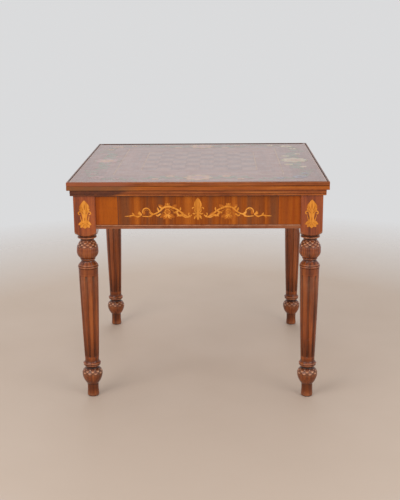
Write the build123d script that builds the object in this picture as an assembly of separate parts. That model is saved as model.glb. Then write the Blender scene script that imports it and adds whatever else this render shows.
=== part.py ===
from build123d import *
import math
import os

# A square games table: a case on four turned, fluted and carved legs, under a top of two leaves.
# The closed top swivels a quarter turn over the case and then folds open like a book.
# The origin is on the floor, under the middle of the case.
# X runs to the right, Y to the back and Z up, in millimetres.

# Overall size
table_height = 770.0
top_side = 860.0

# Running gaps, glue lines and cutters
slide_gap = 0.2
seam_gap = 0.2
fit_gap = 0.2
bearing_gap = 0.05
overrun = 3.0
face_tolerance = 1e-6

# Leaves of the top
leaf_thickness = 13.8
lipping_width = 6.0
lipping_crown = 2.6
lipping_arris = 1.0
rim_stand = 0.6
veneer_thickness = 1.0
baize_thickness = 0.9
baize_inset = 45.0

# Inlaid field of the upper leaf
square_side = 50.0
squares_per_side = 8
stringing_width = 4.0
inner_border_width = 83.0
banding_width = 5.0

# Cornice frame on the case
cornice_height = 20.0
cornice_setback = 9.0
cornice_reach = 9.0
cornice_depth = 45.0
cornice_round = 4.0
quirk_width = 1.4
quirk_depth = 1.0
quirk_rise = 6.5

# Leg blocks, square in plan
block_side = 73.0
block_height = 119.0

# Foot and carved ball
foot_height = 47.0
foot_radius = 19.6
ball_radius = 34.8
ball_rise = 34.0
ball_fall = 24.5

# Ankle and its ring
ankle_radius = 21.8
ring_radius = 30.4
ring_rise = 12.5
ring_edge_height = 5.0
ring_fall = 11.0

# Fluted shaft
shaft_foot_radius = 24.0
shaft_top_radius = 33.2
flute_count = 8
flute_width = 9.4
flute_floor_width = 4.2
flute_depth = 2.8
flute_run_out = 5.0
flute_top_margin = 23.0
flute_foot_margin = 8.5

# Where the first flute looks, in degrees from the X axis
front_flute_turn = 36.0
back_flute_turn = 3.0

# Collar over the shaft, with the waist above it
collar_radius = 35.0
collar_rise = 3.0
collar_height = 12.5
collar_cap_radius = 32.0
collar_fall = 2.5
waist_radius = 23.2
waist_fall = 10.0
waist_height = 6.0

# Carved bulb
bulb_radius = 36.4
bulb_rise = 34.0
bulb_fall = 33.0
throat_radius = 22.8

# Shoulder under the block
shoulder_ring_radius = 32.0
shoulder_cove_height = 12.0
shoulder_height = 27.0

# Bow of a round stretch, as a share of its chord, and the steps in which it is cut
ball_rise_bow_share = 0.05
ball_fall_bow_share = 0.08
bulb_rise_bow_share = 0.12
bulb_fall_bow_share = 0.07
round_steps = 3

# Aprons
apron_setback = 4.0
apron_height = 113.0
apron_thickness = 21.0
tenon_length = 30.0
tenon_thickness = 9.0
tenon_shoulder = 18.0
bead_height = 13.0
bead_reach = 3.0
bead_round = 2.6
end_strip_width = 74.0

# Case floor and its cleats
floor_thickness = 6.0
cleat_side = 16.0
cleat_lift = 6.0

# Pivot rail and partition
rail_width = 90.0
rail_depth = 45.0
rail_tenon_width = 44.0
rail_tenon_height = 22.0
rail_tenon_length = 10.0
partition_thickness = 12.0

# Pivot metalwork
stud_radius = 6.0
stud_tail = 4.0
pivot_plate_side = 62.0
pivot_plate_thickness = 4.0
washer_side = 28.0
washer_thickness = 2.0
nut_across_flats = 18.0
nut_height = 10.0
stop_pin_radius = 3.0
stop_pin_orbit = 37.0
stop_pin_reach = 5.5
stop_pin_grip = 6.0
stop_groove_gap = 0.3

# Pair of butt hinges at the back
hinge_length = 60.0
hinge_inset = 130.0
hinge_plate_height = 11.0
hinge_plate_thickness = 1.5
hinge_knuckle_radius = 3.0
hinge_pin_radius = 1.5
hinge_offset = 0.2
hinge_relief = 0.4
hinge_barrels = 3

# Heights worked out from the sizes
case_top = table_height - 2 * leaf_thickness - seam_gap - slide_gap
cornice_bottom = case_top - cornice_height
apron_bottom = cornice_bottom - apron_height
lower_leaf_bottom = case_top + slide_gap
lower_leaf_top = lower_leaf_bottom + leaf_thickness
upper_leaf_bottom = lower_leaf_top + seam_gap
field_top = table_height - rim_stand
field_bottom = field_top - veneer_thickness
floor_bottom = apron_bottom + cleat_lift + cleat_side
floor_top = floor_bottom + floor_thickness
rail_bottom = case_top - rail_depth
hinge_axis_height = lower_leaf_top + seam_gap / 2

# Places worked out from the sizes, all as distances from the middle of the table
top_half = top_side / 2
hinge_axis_back = top_half + hinge_offset
pivot_offset = hinge_axis_back / 2
field_half = top_half - lipping_width
cornice_half = top_half - cornice_setback
cornice_inner = cornice_half - cornice_depth
block_outer = cornice_half - cornice_reach
block_inner = block_outer - block_side
leg_centre = block_outer - block_side / 2
apron_face = block_outer - apron_setback
apron_outer = apron_face - veneer_thickness
apron_inner = apron_outer - apron_thickness
apron_middle = (apron_outer + apron_inner) / 2
rail_left = pivot_offset - rail_width / 2
rail_right = pivot_offset + rail_width / 2
board_half = square_side * squares_per_side / 2
stringing_outer = board_half + stringing_width
banding_inner = stringing_outer + inner_border_width
banding_outer = banding_inner + banding_width
baize_half = top_half - baize_inset

groove_end_angle = math.degrees(math.asin((stop_pin_radius + stop_groove_gap) / stop_pin_orbit))

side_names = ("front", "right", "back", "left")
corner_names = ("front_left", "front_right", "back_right", "back_left")


def slab(x_span, y_span, z_span):
    """A straight-sided piece between two limits along each axis."""
    spans = (x_span, y_span, z_span)
    centre = [(low + high) / 2 for low, high in spans]
    return Pos(*centre) * Box(*[high - low for low, high in spans])


def both_ways(half):
    """The span from one side of the middle to the other."""
    return (-half, half)


def rod(radius, x, y, z_span):
    """An upright round bar between two heights."""
    low, high = z_span
    return Pos(x, y, (low + high) / 2) * Cylinder(radius, high - low)


def quarter_turned(piece, turns):
    """A piece made for the front side, turned to the side that lies so many quarter turns on."""
    return Rot(0, 0, 90 * turns) * piece


def square_ring(outer, inner, z_span):
    """A flat square frame about the middle of the table."""
    through = (z_span[0] - overrun, z_span[1] + overrun)
    ring = slab(both_ways(outer), both_ways(outer), z_span)
    return ring - slab(both_ways(inner), both_ways(inner), through)


def mitred(rail, outer, z_span):
    """A rail along the front side, cut at both ends on the table's diagonals."""
    reach = outer + overrun
    low, high = z_span
    corners = ((-reach, -reach), (reach, -reach), (0, 0))
    wedge = extrude(make_face(Polyline(*corners, close=True)), amount=high - low + 2 * overrun)
    return rail & (Pos(0, 0, low - overrun) * wedge)


def face_between(*corners):
    """A flat face with the given corners."""
    return make_face(Polyline(*corners, close=True))


def panels(lower, upper):
    """The flat panels between two outlines with as many corners; a panel that would twist is halved."""
    faces = []
    for number in range(len(lower)):
        a, b = lower[number - 1], lower[number]
        c, d = upper[number], upper[number - 1]
        if (b - a).cross(c - d).length < face_tolerance:
            faces.append(face_between(a, b, c, d))
        else:
            faces += [face_between(a, b, c), face_between(a, c, d)]
    return faces


def flat_loft(outlines):
    """A solid through outlines that lie one above the other, with flat sides from each to the next."""
    faces = [face_between(*outlines[0]), face_between(*outlines[-1])]
    for lower, upper in zip(outlines, outlines[1:]):
        faces += panels(lower, upper)
    return Solid(Shell(faces))


# Heights along the leg
shaft_foot = foot_height + ball_rise + ball_fall + ring_rise + ring_edge_height + ring_fall
shoulder_top = cornice_bottom - block_height
shoulder_bottom = shoulder_top - shoulder_height - shoulder_cove_height
bulb_bottom = shoulder_bottom - bulb_fall - bulb_rise
shaft_top = bulb_bottom - waist_height - waist_fall - collar_fall - collar_height - collar_rise
shaft_length = shaft_top - shaft_foot


def shaft_radius(rise):
    """The radius of the tapering shaft at a rise above its foot."""
    return shaft_foot_radius + (shaft_top_radius - shaft_foot_radius) * rise / shaft_length


def leg_corner_turns():
    """Where the corners of one flute and the land beside it lie, in degrees from the flute's middle."""
    edge = math.degrees(math.asin(flute_width / 2 / shaft_top_radius))
    floor = math.degrees(math.asin(flute_floor_width / 2 / (shaft_top_radius - flute_depth)))
    land = 360 / flute_count / 2
    return ((-edge, False), (-floor, True), (floor, True), (edge, False), (land, False))


def leg_outline(radius, height, fluted, flute_turn):
    """The many-sided outline across the leg at one height, hollowed at the flutes where it is fluted."""
    floor_radius = radius * (1 - flute_depth / shaft_top_radius) if fluted else radius
    corners = []
    for number in range(flute_count):
        for turn, hollow in leg_corner_turns():
            angle = math.radians(360 / flute_count * number + flute_turn + turn)
            reach = floor_radius if hollow else radius
            corners.append(Vector(reach * math.cos(angle), reach * math.sin(angle), height))
    return corners


def leg_steps():
    """The turning from the floor up, in steps of (end radius, rise, bow share, fluted at its end)."""
    flute_foot = flute_foot_margin + flute_run_out
    flute_top = shaft_length - flute_top_margin - flute_run_out
    block_radius = block_side / math.sqrt(2) + overrun
    return [
        (foot_radius, foot_height, 0, False),
        (ball_radius, ball_rise, ball_rise_bow_share, False),
        (ankle_radius, ball_fall, ball_fall_bow_share, False),
        (ring_radius, ring_rise, 0, False),
        (ring_radius, ring_edge_height, 0, False),
        (shaft_foot_radius, ring_fall, 0, False),
        (shaft_radius(flute_foot_margin), flute_foot_margin, 0, False),
        (shaft_radius(flute_foot), flute_run_out, 0, True),
        (shaft_radius(flute_top), flute_top - flute_foot, 0, True),
        (shaft_radius(flute_top + flute_run_out), flute_run_out, 0, False),
        (shaft_top_radius, flute_top_margin, 0, False),
        (collar_radius, collar_rise, 0, False),
        (collar_radius, collar_height, 0, False),
        (collar_cap_radius, collar_fall, 0, False),
        (waist_radius, waist_fall, 0, False),
        (waist_radius, waist_height, 0, False),
        (bulb_radius, bulb_rise, bulb_rise_bow_share, False),
        (throat_radius, bulb_fall, bulb_fall_bow_share, False),
        (shoulder_ring_radius, shoulder_cove_height, 0, False),
        (block_radius, shoulder_height, 0, False),
        (block_radius, block_height, 0, False),
    ]


def leg_turning(flute_turn):
    """The whole turning, with the block still round and wider than its square."""
    radius, height = foot_radius, 0
    outlines = [leg_outline(radius, height, False, flute_turn)]
    for end_radius, rise, bow_share, fluted in leg_steps():
        cuts = round_steps if bow_share else 1
        for number in range(1, cuts + 1):
            share = number / cuts
            bow = 4 * bow_share * share * (1 - share)
            reach = radius + (end_radius - radius) * share + rise * bow
            level = height + rise * share - (end_radius - radius) * bow
            outlines.append(leg_outline(reach, level, fluted, flute_turn))
        radius, height = end_radius, height + rise
    return flat_loft(outlines)


def make_leg(flute_turn):
    """One leg about its own axis, with mortises in the two faces that look along +X and +Y."""
    half = block_side / 2
    square = slab(both_ways(half), both_ways(half), (-overrun, cornice_bottom))
    leg = leg_turning(flute_turn) & square
    offset = apron_middle - leg_centre
    cheek = tenon_thickness / 2 + fit_gap
    depth = (half - tenon_length - fit_gap, half + overrun)
    height = (apron_bottom + tenon_shoulder - fit_gap, cornice_bottom - tenon_shoulder + fit_gap)
    width = (-offset - cheek, -offset + cheek)
    return leg - [slab(depth, width, height), slab(width, depth, height)]


def legs():
    """The four legs, each turned so that its mortises face its two aprons."""
    front = make_leg(front_flute_turn)
    back = make_leg(back_flute_turn)
    corner = Pos(-leg_centre, -leg_centre, 0)
    pieces = {}
    for turn, name in enumerate(corner_names):
        leg = back if name.startswith("back") else front
        pieces[f"leg_{name}"] = quarter_turned(corner * leg, turn)
    return pieces


def rail_socket(side_turn):
    """The housing for the pivot rail's stub tenon in the front or the back apron."""
    along = pivot_offset if side_turn == 0 else -pivot_offset
    half = rail_tenon_width / 2 + fit_gap
    middle = (rail_bottom + cornice_bottom) / 2
    rise = rail_tenon_height / 2 + fit_gap
    depth = (-apron_inner - rail_tenon_length - fit_gap, -apron_inner + overrun)
    return slab((along - half, along + half), depth, (middle - rise, middle + rise))


def make_apron(turn):
    """An apron as it lies on the front side, with a tenon at each end."""
    board = slab(both_ways(block_inner), (-apron_outer, -apron_inner), (apron_bottom, cornice_bottom))
    cheek = tenon_thickness / 2
    tenon_height = (apron_bottom + tenon_shoulder, cornice_bottom - tenon_shoulder)
    thickness = (-apron_middle - cheek, -apron_middle + cheek)
    board += slab(both_ways(block_inner + tenon_length), thickness, tenon_height)
    if turn % 2 == 0:
        board -= rail_socket(turn)
    return board


def make_bead():
    """The rounded base moulding on the face of the front apron."""
    depth = (-apron_face - bead_reach, -apron_outer)
    bead = slab(both_ways(block_inner), depth, (apron_bottom, apron_bottom + bead_height))
    return fillet(bead.edges().filter_by(Axis.X).group_by(Axis.Y)[0].sort_by(Axis.Z)[-1], bead_round)


def make_cornice():
    """The front rail of the moulded frame that caps the case."""
    span = (cornice_bottom, case_top)
    rail = slab(both_ways(cornice_half), (-cornice_half, -cornice_inner), span)
    outer = rail.edges().filter_by(Axis.X).group_by(Axis.Y)[0]
    rail = fillet(outer.group_by(Axis.Z)[0], cornice_round)
    quirk_foot = cornice_bottom + quirk_rise
    quirk_face = (-cornice_half - overrun, -cornice_half + quirk_depth)
    rail -= slab(both_ways(cornice_half + overrun), quirk_face, (quirk_foot, quirk_foot + quirk_width))
    return mitred(rail, cornice_half, span)


def face_veneers():
    """The face panel of each apron, and the cross-grained strips at its two ends."""
    face = (-apron_face, -apron_outer)
    height = (apron_bottom + bead_height, cornice_bottom)
    panel_half = block_inner - end_strip_width
    panel = slab(both_ways(panel_half - fit_gap), face, height)
    ends = (slab((-block_inner, -panel_half), face, height), slab((panel_half, block_inner), face, height))
    pieces = {f"veneer_{name}": quarter_turned(panel, turn) for turn, name in enumerate(side_names)}
    pieces["end_strips"] = Compound([quarter_turned(end, turn) for turn in range(4) for end in ends])
    return pieces


def case_sides():
    """Aprons, base mouldings and cornice rails, one of each on every side."""
    pieces = {}
    for turn, name in enumerate(side_names):
        pieces[f"apron_{name}"] = quarter_turned(make_apron(turn), turn)
        pieces[f"bead_{name}"] = quarter_turned(make_bead(), turn)
        pieces[f"cornice_{name}"] = quarter_turned(make_cornice(), turn)
    return pieces


def case_floor():
    """The floor of the well, notched round the leg blocks, with its cleats and its baize lining."""
    reach = apron_inner - fit_gap
    notch = block_inner - fit_gap
    bottom = slab(both_ways(reach), both_ways(reach), (floor_bottom, floor_top))
    through = (floor_bottom - overrun, floor_top + overrun)
    corner = slab((notch, reach + overrun), (notch, reach + overrun), through)
    bottom -= [quarter_turned(corner, turn) for turn in range(4)]
    cleat = slab(both_ways(notch), (-apron_inner, -apron_inner + cleat_side),
                 (floor_bottom - cleat_side, floor_bottom))
    lining = slab((-reach, rail_left - fit_gap), both_ways(reach), (floor_top, floor_top + baize_thickness))
    lining -= [slab((-reach - overrun, -notch), span, through)
               for span in ((notch, reach + overrun), (-reach - overrun, -notch))]
    return {
        "well_floor": bottom,
        "well_lining": lining,
        "floor_cleats": Compound([quarter_turned(cleat, turn) for turn in range(4)]),
    }


def stop_groove():
    """The curved groove in the rail's top, whose two ends stop the pin a quarter turn apart."""
    width = stop_pin_radius + stop_groove_gap
    depth = stop_pin_reach + slide_gap + stop_groove_gap
    section = Plane.XZ * Pos(stop_pin_orbit, (overrun - depth) / 2) * Rectangle(2 * width, depth + overrun)
    sweep = revolve(section, axis=Axis.Z, revolution_arc=90 + 2 * groove_end_angle)
    return Pos(pivot_offset, pivot_offset, case_top) * Rot(0, 0, -90 - groove_end_angle) * sweep


def pivot_rail():
    """The cross rail that carries the pivot, housed in the front and back aprons."""
    inner = both_ways(cornice_inner - fit_gap)
    width = (rail_left, rail_right)
    rail = slab(width, inner, (cornice_bottom, case_top))
    rail += slab(width, both_ways(apron_inner), (rail_bottom, cornice_bottom))
    middle = (rail_bottom + cornice_bottom) / 2
    height = (middle - rail_tenon_height / 2, middle + rail_tenon_height / 2)
    tenon = (pivot_offset - rail_tenon_width / 2, pivot_offset + rail_tenon_width / 2)
    rail += slab(tenon, both_ways(apron_inner + rail_tenon_length), height)
    bore = (rail_bottom - overrun, case_top + overrun)
    rail -= rod(stud_radius + bearing_gap, pivot_offset, pivot_offset, bore)
    return rail - stop_groove()


def partition():
    """The board that stands under the rail's open side and closes the well."""
    return slab((rail_left, rail_left + partition_thickness), both_ways(apron_inner - fit_gap),
                (floor_top, rail_bottom))


def pivot_metalwork():
    """The plate let into the lower leaf, its stud through the rail, the washer, the nut and the stop pin."""
    half = pivot_plate_side / 2
    span = (pivot_offset - half, pivot_offset + half)
    plate = slab(span, span, (lower_leaf_bottom, lower_leaf_bottom + pivot_plate_thickness))
    washer_bottom = rail_bottom - washer_thickness
    nut_bottom = washer_bottom - nut_height
    thread = rod(stud_radius + bearing_gap, pivot_offset, pivot_offset,
                 (nut_bottom - overrun, lower_leaf_top))
    pin = rod(stop_pin_radius, pivot_offset, pivot_offset - stop_pin_orbit,
              (lower_leaf_bottom - slide_gap - stop_pin_reach, lower_leaf_bottom + stop_pin_grip))
    washer_span = (pivot_offset - washer_side / 2, pivot_offset + washer_side / 2)
    washer = slab(washer_span, washer_span, (washer_bottom, rail_bottom))
    hexagon = RegularPolygon(nut_across_flats / 2, 6, major_radius=False)
    nut = Pos(pivot_offset, pivot_offset, nut_bottom) * extrude(hexagon, amount=nut_height)
    return {
        "pivot_plate": plate - thread,
        "pivot_stud": rod(stud_radius, pivot_offset, pivot_offset,
                          (nut_bottom - stud_tail, lower_leaf_bottom + pivot_plate_thickness)),
        "pivot_washer": washer - thread,
        "pivot_nut": nut - thread,
        "stop_pin": pin,
    }


def stop_pin_hole():
    """The hole in the lower leaf's underside that holds the stop pin, in front of the pivot plate."""
    return rod(stop_pin_radius + bearing_gap, pivot_offset, pivot_offset - stop_pin_orbit,
               (lower_leaf_bottom - overrun, lower_leaf_bottom + stop_pin_grip + fit_gap))


def pivot_recess():
    """What the pivot plate and the stop pin take out of the lower leaf's underside."""
    half = pivot_plate_side / 2 + fit_gap
    span = (pivot_offset - half, pivot_offset + half)
    depth = (lower_leaf_bottom - overrun, lower_leaf_bottom + pivot_plate_thickness)
    return [slab(span, span, depth), stop_pin_hole()]


def hinge_centres():
    """How far the two hinges stand to either side of the middle."""
    reach = top_half - hinge_inset
    return (-reach, reach)


def hinge_recess():
    """What both hinges take out of the back edges of the leaves: room for the barrels and the plates."""
    reach = hinge_knuckle_radius + hinge_relief
    seat = hinge_plate_height + fit_gap
    half = hinge_length / 2 + fit_gap
    cuts = []
    for centre in hinge_centres():
        length = (centre - half, centre + half)
        cuts.append(slab(length, (hinge_axis_back - reach, top_half + overrun),
                         (hinge_axis_height - reach, hinge_axis_height + reach)))
        cuts.append(slab(length, (top_half - hinge_plate_thickness, top_half + overrun),
                         (hinge_axis_height - seat, hinge_axis_height + seat)))
    return cuts


def hinge_half(centre, upper):
    """One half of a butt hinge: a plate let into the back edge, with its barrels or its barrels and pin."""
    side = 1 if upper else -1
    half = hinge_length / 2
    rise = sorted((hinge_axis_height + side * hinge_relief, hinge_axis_height + side * hinge_plate_height))
    plate = slab((centre - half, centre + half), (top_half - hinge_plate_thickness, top_half), rise)
    pitch = hinge_length / hinge_barrels
    barrel = Cylinder(hinge_knuckle_radius, pitch - fit_gap, rotation=(0, 90, 0))
    clear = hinge_knuckle_radius + fit_gap
    room = Box(pitch + fit_gap, 2 * clear, 2 * clear)
    axis = Pos(centre, hinge_axis_back, hinge_axis_height)
    for number in range(hinge_barrels):
        place = axis * Pos(pitch * (number - (hinge_barrels - 1) / 2), 0, 0)
        if number % 2 == int(upper):
            plate += place * barrel
        else:
            plate -= place * room
    if upper:
        return plate - axis * Cylinder(hinge_pin_radius + bearing_gap, hinge_length, rotation=(0, 90, 0))
    return plate + axis * Cylinder(hinge_pin_radius, hinge_length - fit_gap, rotation=(0, 90, 0))


def hinges():
    """The pair of brass butt hinges, in two halves each, with the pin fast in the lower half."""
    pieces = {}
    for name, centre in zip(("left", "right"), hinge_centres()):
        pieces[f"{name}_hinge_lower"] = hinge_half(centre, False)
        pieces[f"{name}_hinge_upper"] = hinge_half(centre, True)
    return pieces


def lippings(leaf_bottom, crown, leaf):
    """The four mitred edge mouldings of a leaf, with the arrises eased and the crown rounded, if it has one."""
    span = (leaf_bottom, leaf_bottom + leaf_thickness)
    strip = slab(both_ways(top_half), (-top_half, -field_half), span)
    lower, upper = strip.edges().filter_by(Axis.X).group_by(Axis.Y)[0].sort_by(Axis.Z)
    if crown:
        strip = fillet(upper, crown)
        lower = strip.edges().filter_by(Axis.X).group_by(Axis.Y)[0].sort_by(Axis.Z)[0]
        strip = chamfer(lower, lipping_arris)
    else:
        strip = chamfer([lower, upper], lipping_arris)
    strip = mitred(strip, top_half, span)
    pieces = {f"{leaf}_lipping_{name}": quarter_turned(strip, turn) for turn, name in enumerate(side_names)}
    pieces[f"{leaf}_lipping_back"] -= hinge_recess()
    return pieces


def leaf_core(leaf_bottom, leaf_top, baize_face):
    """The board of a leaf inside its lippings, with a shallow recess for the baize."""
    core = slab(both_ways(field_half), both_ways(field_half), (leaf_bottom, leaf_top))
    half = baize_half + fit_gap
    if baize_face > (leaf_bottom + leaf_top) / 2:
        recess = (baize_face - baize_thickness - fit_gap, baize_face + overrun)
    else:
        recess = (baize_face - overrun, baize_face + baize_thickness + fit_gap)
    return core - slab(both_ways(half), both_ways(half), recess)


def lower_leaf():
    """The leaf that turns on the pivot and carries the hinges."""
    core = leaf_core(lower_leaf_bottom, lower_leaf_top, lower_leaf_top)
    core -= pivot_recess()
    bed = lower_leaf_top - baize_thickness - fit_gap
    pieces = {
        "lower_board": core,
        "lower_baize": slab(both_ways(baize_half), both_ways(baize_half), (bed, bed + baize_thickness)),
    }
    pieces.update(lippings(lower_leaf_bottom, 0, "lower"))
    return pieces


def chess_squares(shade):
    """The veneer squares of one shade, each with a glue line around it."""
    half = (square_side - fit_gap) / 2
    square = slab(both_ways(half), both_ways(half), (field_bottom, field_top))
    squares = []
    for row in range(squares_per_side):
        for column in range(squares_per_side):
            if (row + column) % 2 == shade:
                x = (column + 1 / 2) * square_side - board_half
                y = (row + 1 / 2) * square_side - board_half
                squares.append(Pos(x, y, 0) * square)
    return Compound(squares)


def upper_leaf():
    """The leaf that folds over: its board, lippings, baize and inlaid field."""
    core = leaf_core(upper_leaf_bottom, field_bottom, upper_leaf_bottom)
    face = (field_bottom, field_top)
    bed = upper_leaf_bottom + fit_gap
    pieces = {
        "upper_board": core,
        "upper_baize": slab(both_ways(baize_half), both_ways(baize_half), (bed, bed + baize_thickness)),
        "outer_border": square_ring(field_half, banding_outer + fit_gap, face),
        "banding": square_ring(banding_outer, banding_inner, face),
        "inner_border": square_ring(banding_inner - fit_gap, stringing_outer + fit_gap, face),
        "board_stringing": square_ring(stringing_outer, board_half, face),
        "dark_squares": chess_squares(0),
        "light_squares": chess_squares(1),
    }
    pieces.update(lippings(upper_leaf_bottom, lipping_crown, "upper"))
    return pieces


def all_pieces():
    """Every piece of the table by its name."""
    pieces = legs()
    pieces.update(case_sides())
    pieces.update(face_veneers())
    pieces.update(case_floor())
    pieces["pivot_rail"] = pivot_rail()
    pieces["well_partition"] = partition()
    pieces.update(lower_leaf())
    pieces.update(pivot_metalwork())
    pieces.update(hinges())
    pieces.update(upper_leaf())
    return pieces


os.makedirs("parts", exist_ok=True)
for piece_name, piece in all_pieces().items():
    export_step(piece, f"parts/{piece_name}.step")
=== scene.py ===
"""The finished look of the inlaid games table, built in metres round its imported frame."""

import logging
import math
from dataclasses import dataclass, field
from enum import Enum
from typing import ClassVar

import bpy
import numpy as np
from mathutils import Matrix, Vector


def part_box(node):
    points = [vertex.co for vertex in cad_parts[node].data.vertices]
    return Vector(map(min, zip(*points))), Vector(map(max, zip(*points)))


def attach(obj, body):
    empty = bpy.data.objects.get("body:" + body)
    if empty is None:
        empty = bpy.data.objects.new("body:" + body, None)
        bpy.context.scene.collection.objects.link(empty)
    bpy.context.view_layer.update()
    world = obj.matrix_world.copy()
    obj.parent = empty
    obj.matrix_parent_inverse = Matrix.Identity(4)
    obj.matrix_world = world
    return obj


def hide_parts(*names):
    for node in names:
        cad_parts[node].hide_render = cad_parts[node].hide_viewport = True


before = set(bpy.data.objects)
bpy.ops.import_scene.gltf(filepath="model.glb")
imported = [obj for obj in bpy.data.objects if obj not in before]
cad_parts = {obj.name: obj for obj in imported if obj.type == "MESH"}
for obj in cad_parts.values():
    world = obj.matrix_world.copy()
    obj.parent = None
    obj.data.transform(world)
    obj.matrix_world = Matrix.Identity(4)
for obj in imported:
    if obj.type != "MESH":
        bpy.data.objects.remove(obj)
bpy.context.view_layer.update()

LOG = logging.getLogger("games_table")

Colour = tuple[float, float, float]
Point = tuple[float, float]
Place = tuple[float, float, float]
Face = tuple[int, ...]
Socket = bpy.types.NodeSocket

SIDES = ("front", "right", "back", "left")
CORNERS = ("front_left", "front_right", "back_right", "back_left")


def toned(colour: Colour, share: float) -> Colour:
    """A colour made darker or lighter by a share, up to full brightness."""
    return tuple(min(1.0, value * share) for value in colour)


class Grain(Enum):
    """Which way the wood's fibres run in a piece."""

    ALONG_X = "along x"
    ALONG_Y = "along y"
    UPRIGHT = "upright"
    ROUND_THE_SQUARE = "along the nearest side of the square"


@dataclass(frozen=True)
class Noise:
    """Soft noise between 0 and 1: its lumps in a metre, all ways or along each axis, and its character."""

    lumps: float | Place
    detail: float = 2.0
    roughness: float = 0.5
    distortion: float = 0.0


@dataclass(frozen=True)
class Band:
    """A band of values, and what its two ends become. Values beyond an end become what it does."""

    low: float
    high: float
    to_low: float = 0.0
    to_high: float = 1.0


class Shader:
    """One material's node tree, with short calls that add and join its nodes."""

    RELIEF_STRENGTH = 0.6

    def __init__(self, name: str) -> None:
        """Starts the material with its surface shader joined to the output.

        Args:
            name: The material's name.
        """
        self.material = bpy.data.materials.new(name)
        self.material.use_nodes = True
        self.tree = self.material.node_tree
        self.tree.nodes.clear()
        self.surface = self.tree.nodes.new("ShaderNodeBsdfPrincipled")
        self.output = self.tree.nodes.new("ShaderNodeOutputMaterial")
        self.tree.links.new(self.surface.outputs["BSDF"], self.output.inputs["Surface"])

    def node(self, kind: str, inputs: dict | None = None, **settings: object) -> bpy.types.Node:
        """Adds a node.

        Args:
            kind: The node's type name.
            inputs: What each input socket, by name or number, is set to or joined to.
            settings: The node's own properties.

        Returns:
            The new node.
        """
        made = self.tree.nodes.new(kind)
        for key, value in settings.items():
            setattr(made, key, value)
        for key, value in (inputs or {}).items():
            if isinstance(value, Socket):
                self.tree.links.new(value, made.inputs[key])
            else:
                made.inputs[key].default_value = value
        return made

    def sum(self, operation: str, first: object, second: object = 0.0, third: object = 0.0,
            clamp: bool = False) -> Socket:
        """Works out one value from up to three others.

        Args:
            operation: The arithmetic's name.
            first: A number or a socket.
            second: A number or a socket.
            third: A number or a socket.
            clamp: Whether the result is kept between 0 and 1.

        Returns:
            The result's socket.
        """
        made = self.node("ShaderNodeMath", {0: first, 1: second, 2: third},
                         operation=operation, use_clamp=clamp)
        return made.outputs[0]

    def place(self) -> Socket:
        """The place on the piece, in metres of the shared frame."""
        return self.node("ShaderNodeTexCoord").outputs["Object"]

    def moved(self, operation: str, place: Socket, by: Place) -> Socket:
        """The place with each axis multiplied by a number, or with one added to it."""
        return self.node("ShaderNodeVectorMath", {0: place, 1: by}, operation=operation).outputs[0]

    def axes(self, place: Socket) -> tuple[Socket, ...]:
        """The three axes of a place, one by one."""
        return tuple(self.node("ShaderNodeSeparateXYZ", {0: place}).outputs)

    def joined(self, x: Socket, y: Socket, z: Socket) -> Socket:
        """One place made of three axes."""
        return self.node("ShaderNodeCombineXYZ", {0: x, 1: y, 2: z}).outputs[0]

    def painted(self, layer: str) -> Socket:
        """The value that the piece's mesh holds at each of its points."""
        return self.node("ShaderNodeAttribute", attribute_name=layer).outputs["Fac"]

    def cloud(self, place: Socket, noise: Noise) -> Socket:
        """Reads soft noise.

        Args:
            place: Where it is read.
            noise: The noise.

        Returns:
            The noise's socket.
        """
        lumps = noise.lumps
        if isinstance(lumps, tuple):
            place, lumps = self.moved("MULTIPLY", place, lumps), 1.0
        made = self.node("ShaderNodeTexNoise", {
            "Vector": place, "Scale": lumps, "Detail": noise.detail,
            "Roughness": noise.roughness, "Distortion": noise.distortion,
        })
        return made.outputs["Fac"]

    def spread(self, value: Socket, band: Band) -> Socket:
        """Spreads a band of values over what its ends become.

        Args:
            value: The value.
            band: The band.

        Returns:
            The spread value's socket.
        """
        made = self.node("ShaderNodeMapRange", {
            "Value": value, "From Min": band.low, "From Max": band.high,
            "To Min": band.to_low, "To Max": band.to_high,
        })
        return made.outputs["Result"]

    def ramp(self, value: Socket, stops: tuple[tuple[float, Colour], ...]) -> Socket:
        """Colours a value.

        Args:
            value: The value to colour.
            stops: The places and colours of the ramp, in order.

        Returns:
            The colour's socket.
        """
        made = self.node("ShaderNodeValToRGB", {"Fac": value})
        elements = made.color_ramp.elements
        while len(elements) < len(stops):
            elements.new(0.5)
        for element, (place, colour) in zip(elements, stops):
            element.position = place
            element.color = (*colour, 1.0)
        return made.outputs["Color"]

    def mix(self, share: object, first: object, second: object, blend: str = "MIX") -> Socket:
        """Mixes two colours.

        Args:
            share: How much of the second is taken.
            first: A colour or a socket.
            second: A colour or a socket.
            blend: The way in which they mix.

        Returns:
            The mixed colour's socket.
        """
        made = self.node("ShaderNodeMix", data_type="RGBA", blend_type=blend)
        for number, value in ((0, share), (6, first), (7, second)):
            if isinstance(value, Socket):
                self.tree.links.new(value, made.inputs[number])
            else:
                made.inputs[number].default_value = (*value, 1.0) if number else value
        return made.outputs[2]

    def finish(self, colour: Socket, roughness: Socket, height: Socket, depth: float) -> bpy.types.Material:
        """Joins colour, roughness and relief to the surface.

        Args:
            colour: The surface colour.
            roughness: The surface roughness.
            height: The relief, from 0 to 1.
            depth: The height of the relief in metres.

        Returns:
            The finished material.
        """
        relief = self.node("ShaderNodeBump", {
            "Height": height, "Strength": self.RELIEF_STRENGTH, "Distance": depth})
        self.tree.links.new(relief.outputs["Normal"], self.surface.inputs["Normal"])
        self.tree.links.new(colour, self.surface.inputs["Base Color"])
        self.tree.links.new(roughness, self.surface.inputs["Roughness"])
        return self.material

    def fixed(self, **values: float) -> None:
        """Sets constant values on the surface's own sockets, with _ for a space in their names."""
        for name, value in values.items():
            self.surface.inputs[name.replace("_", " ")].default_value = value


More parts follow.
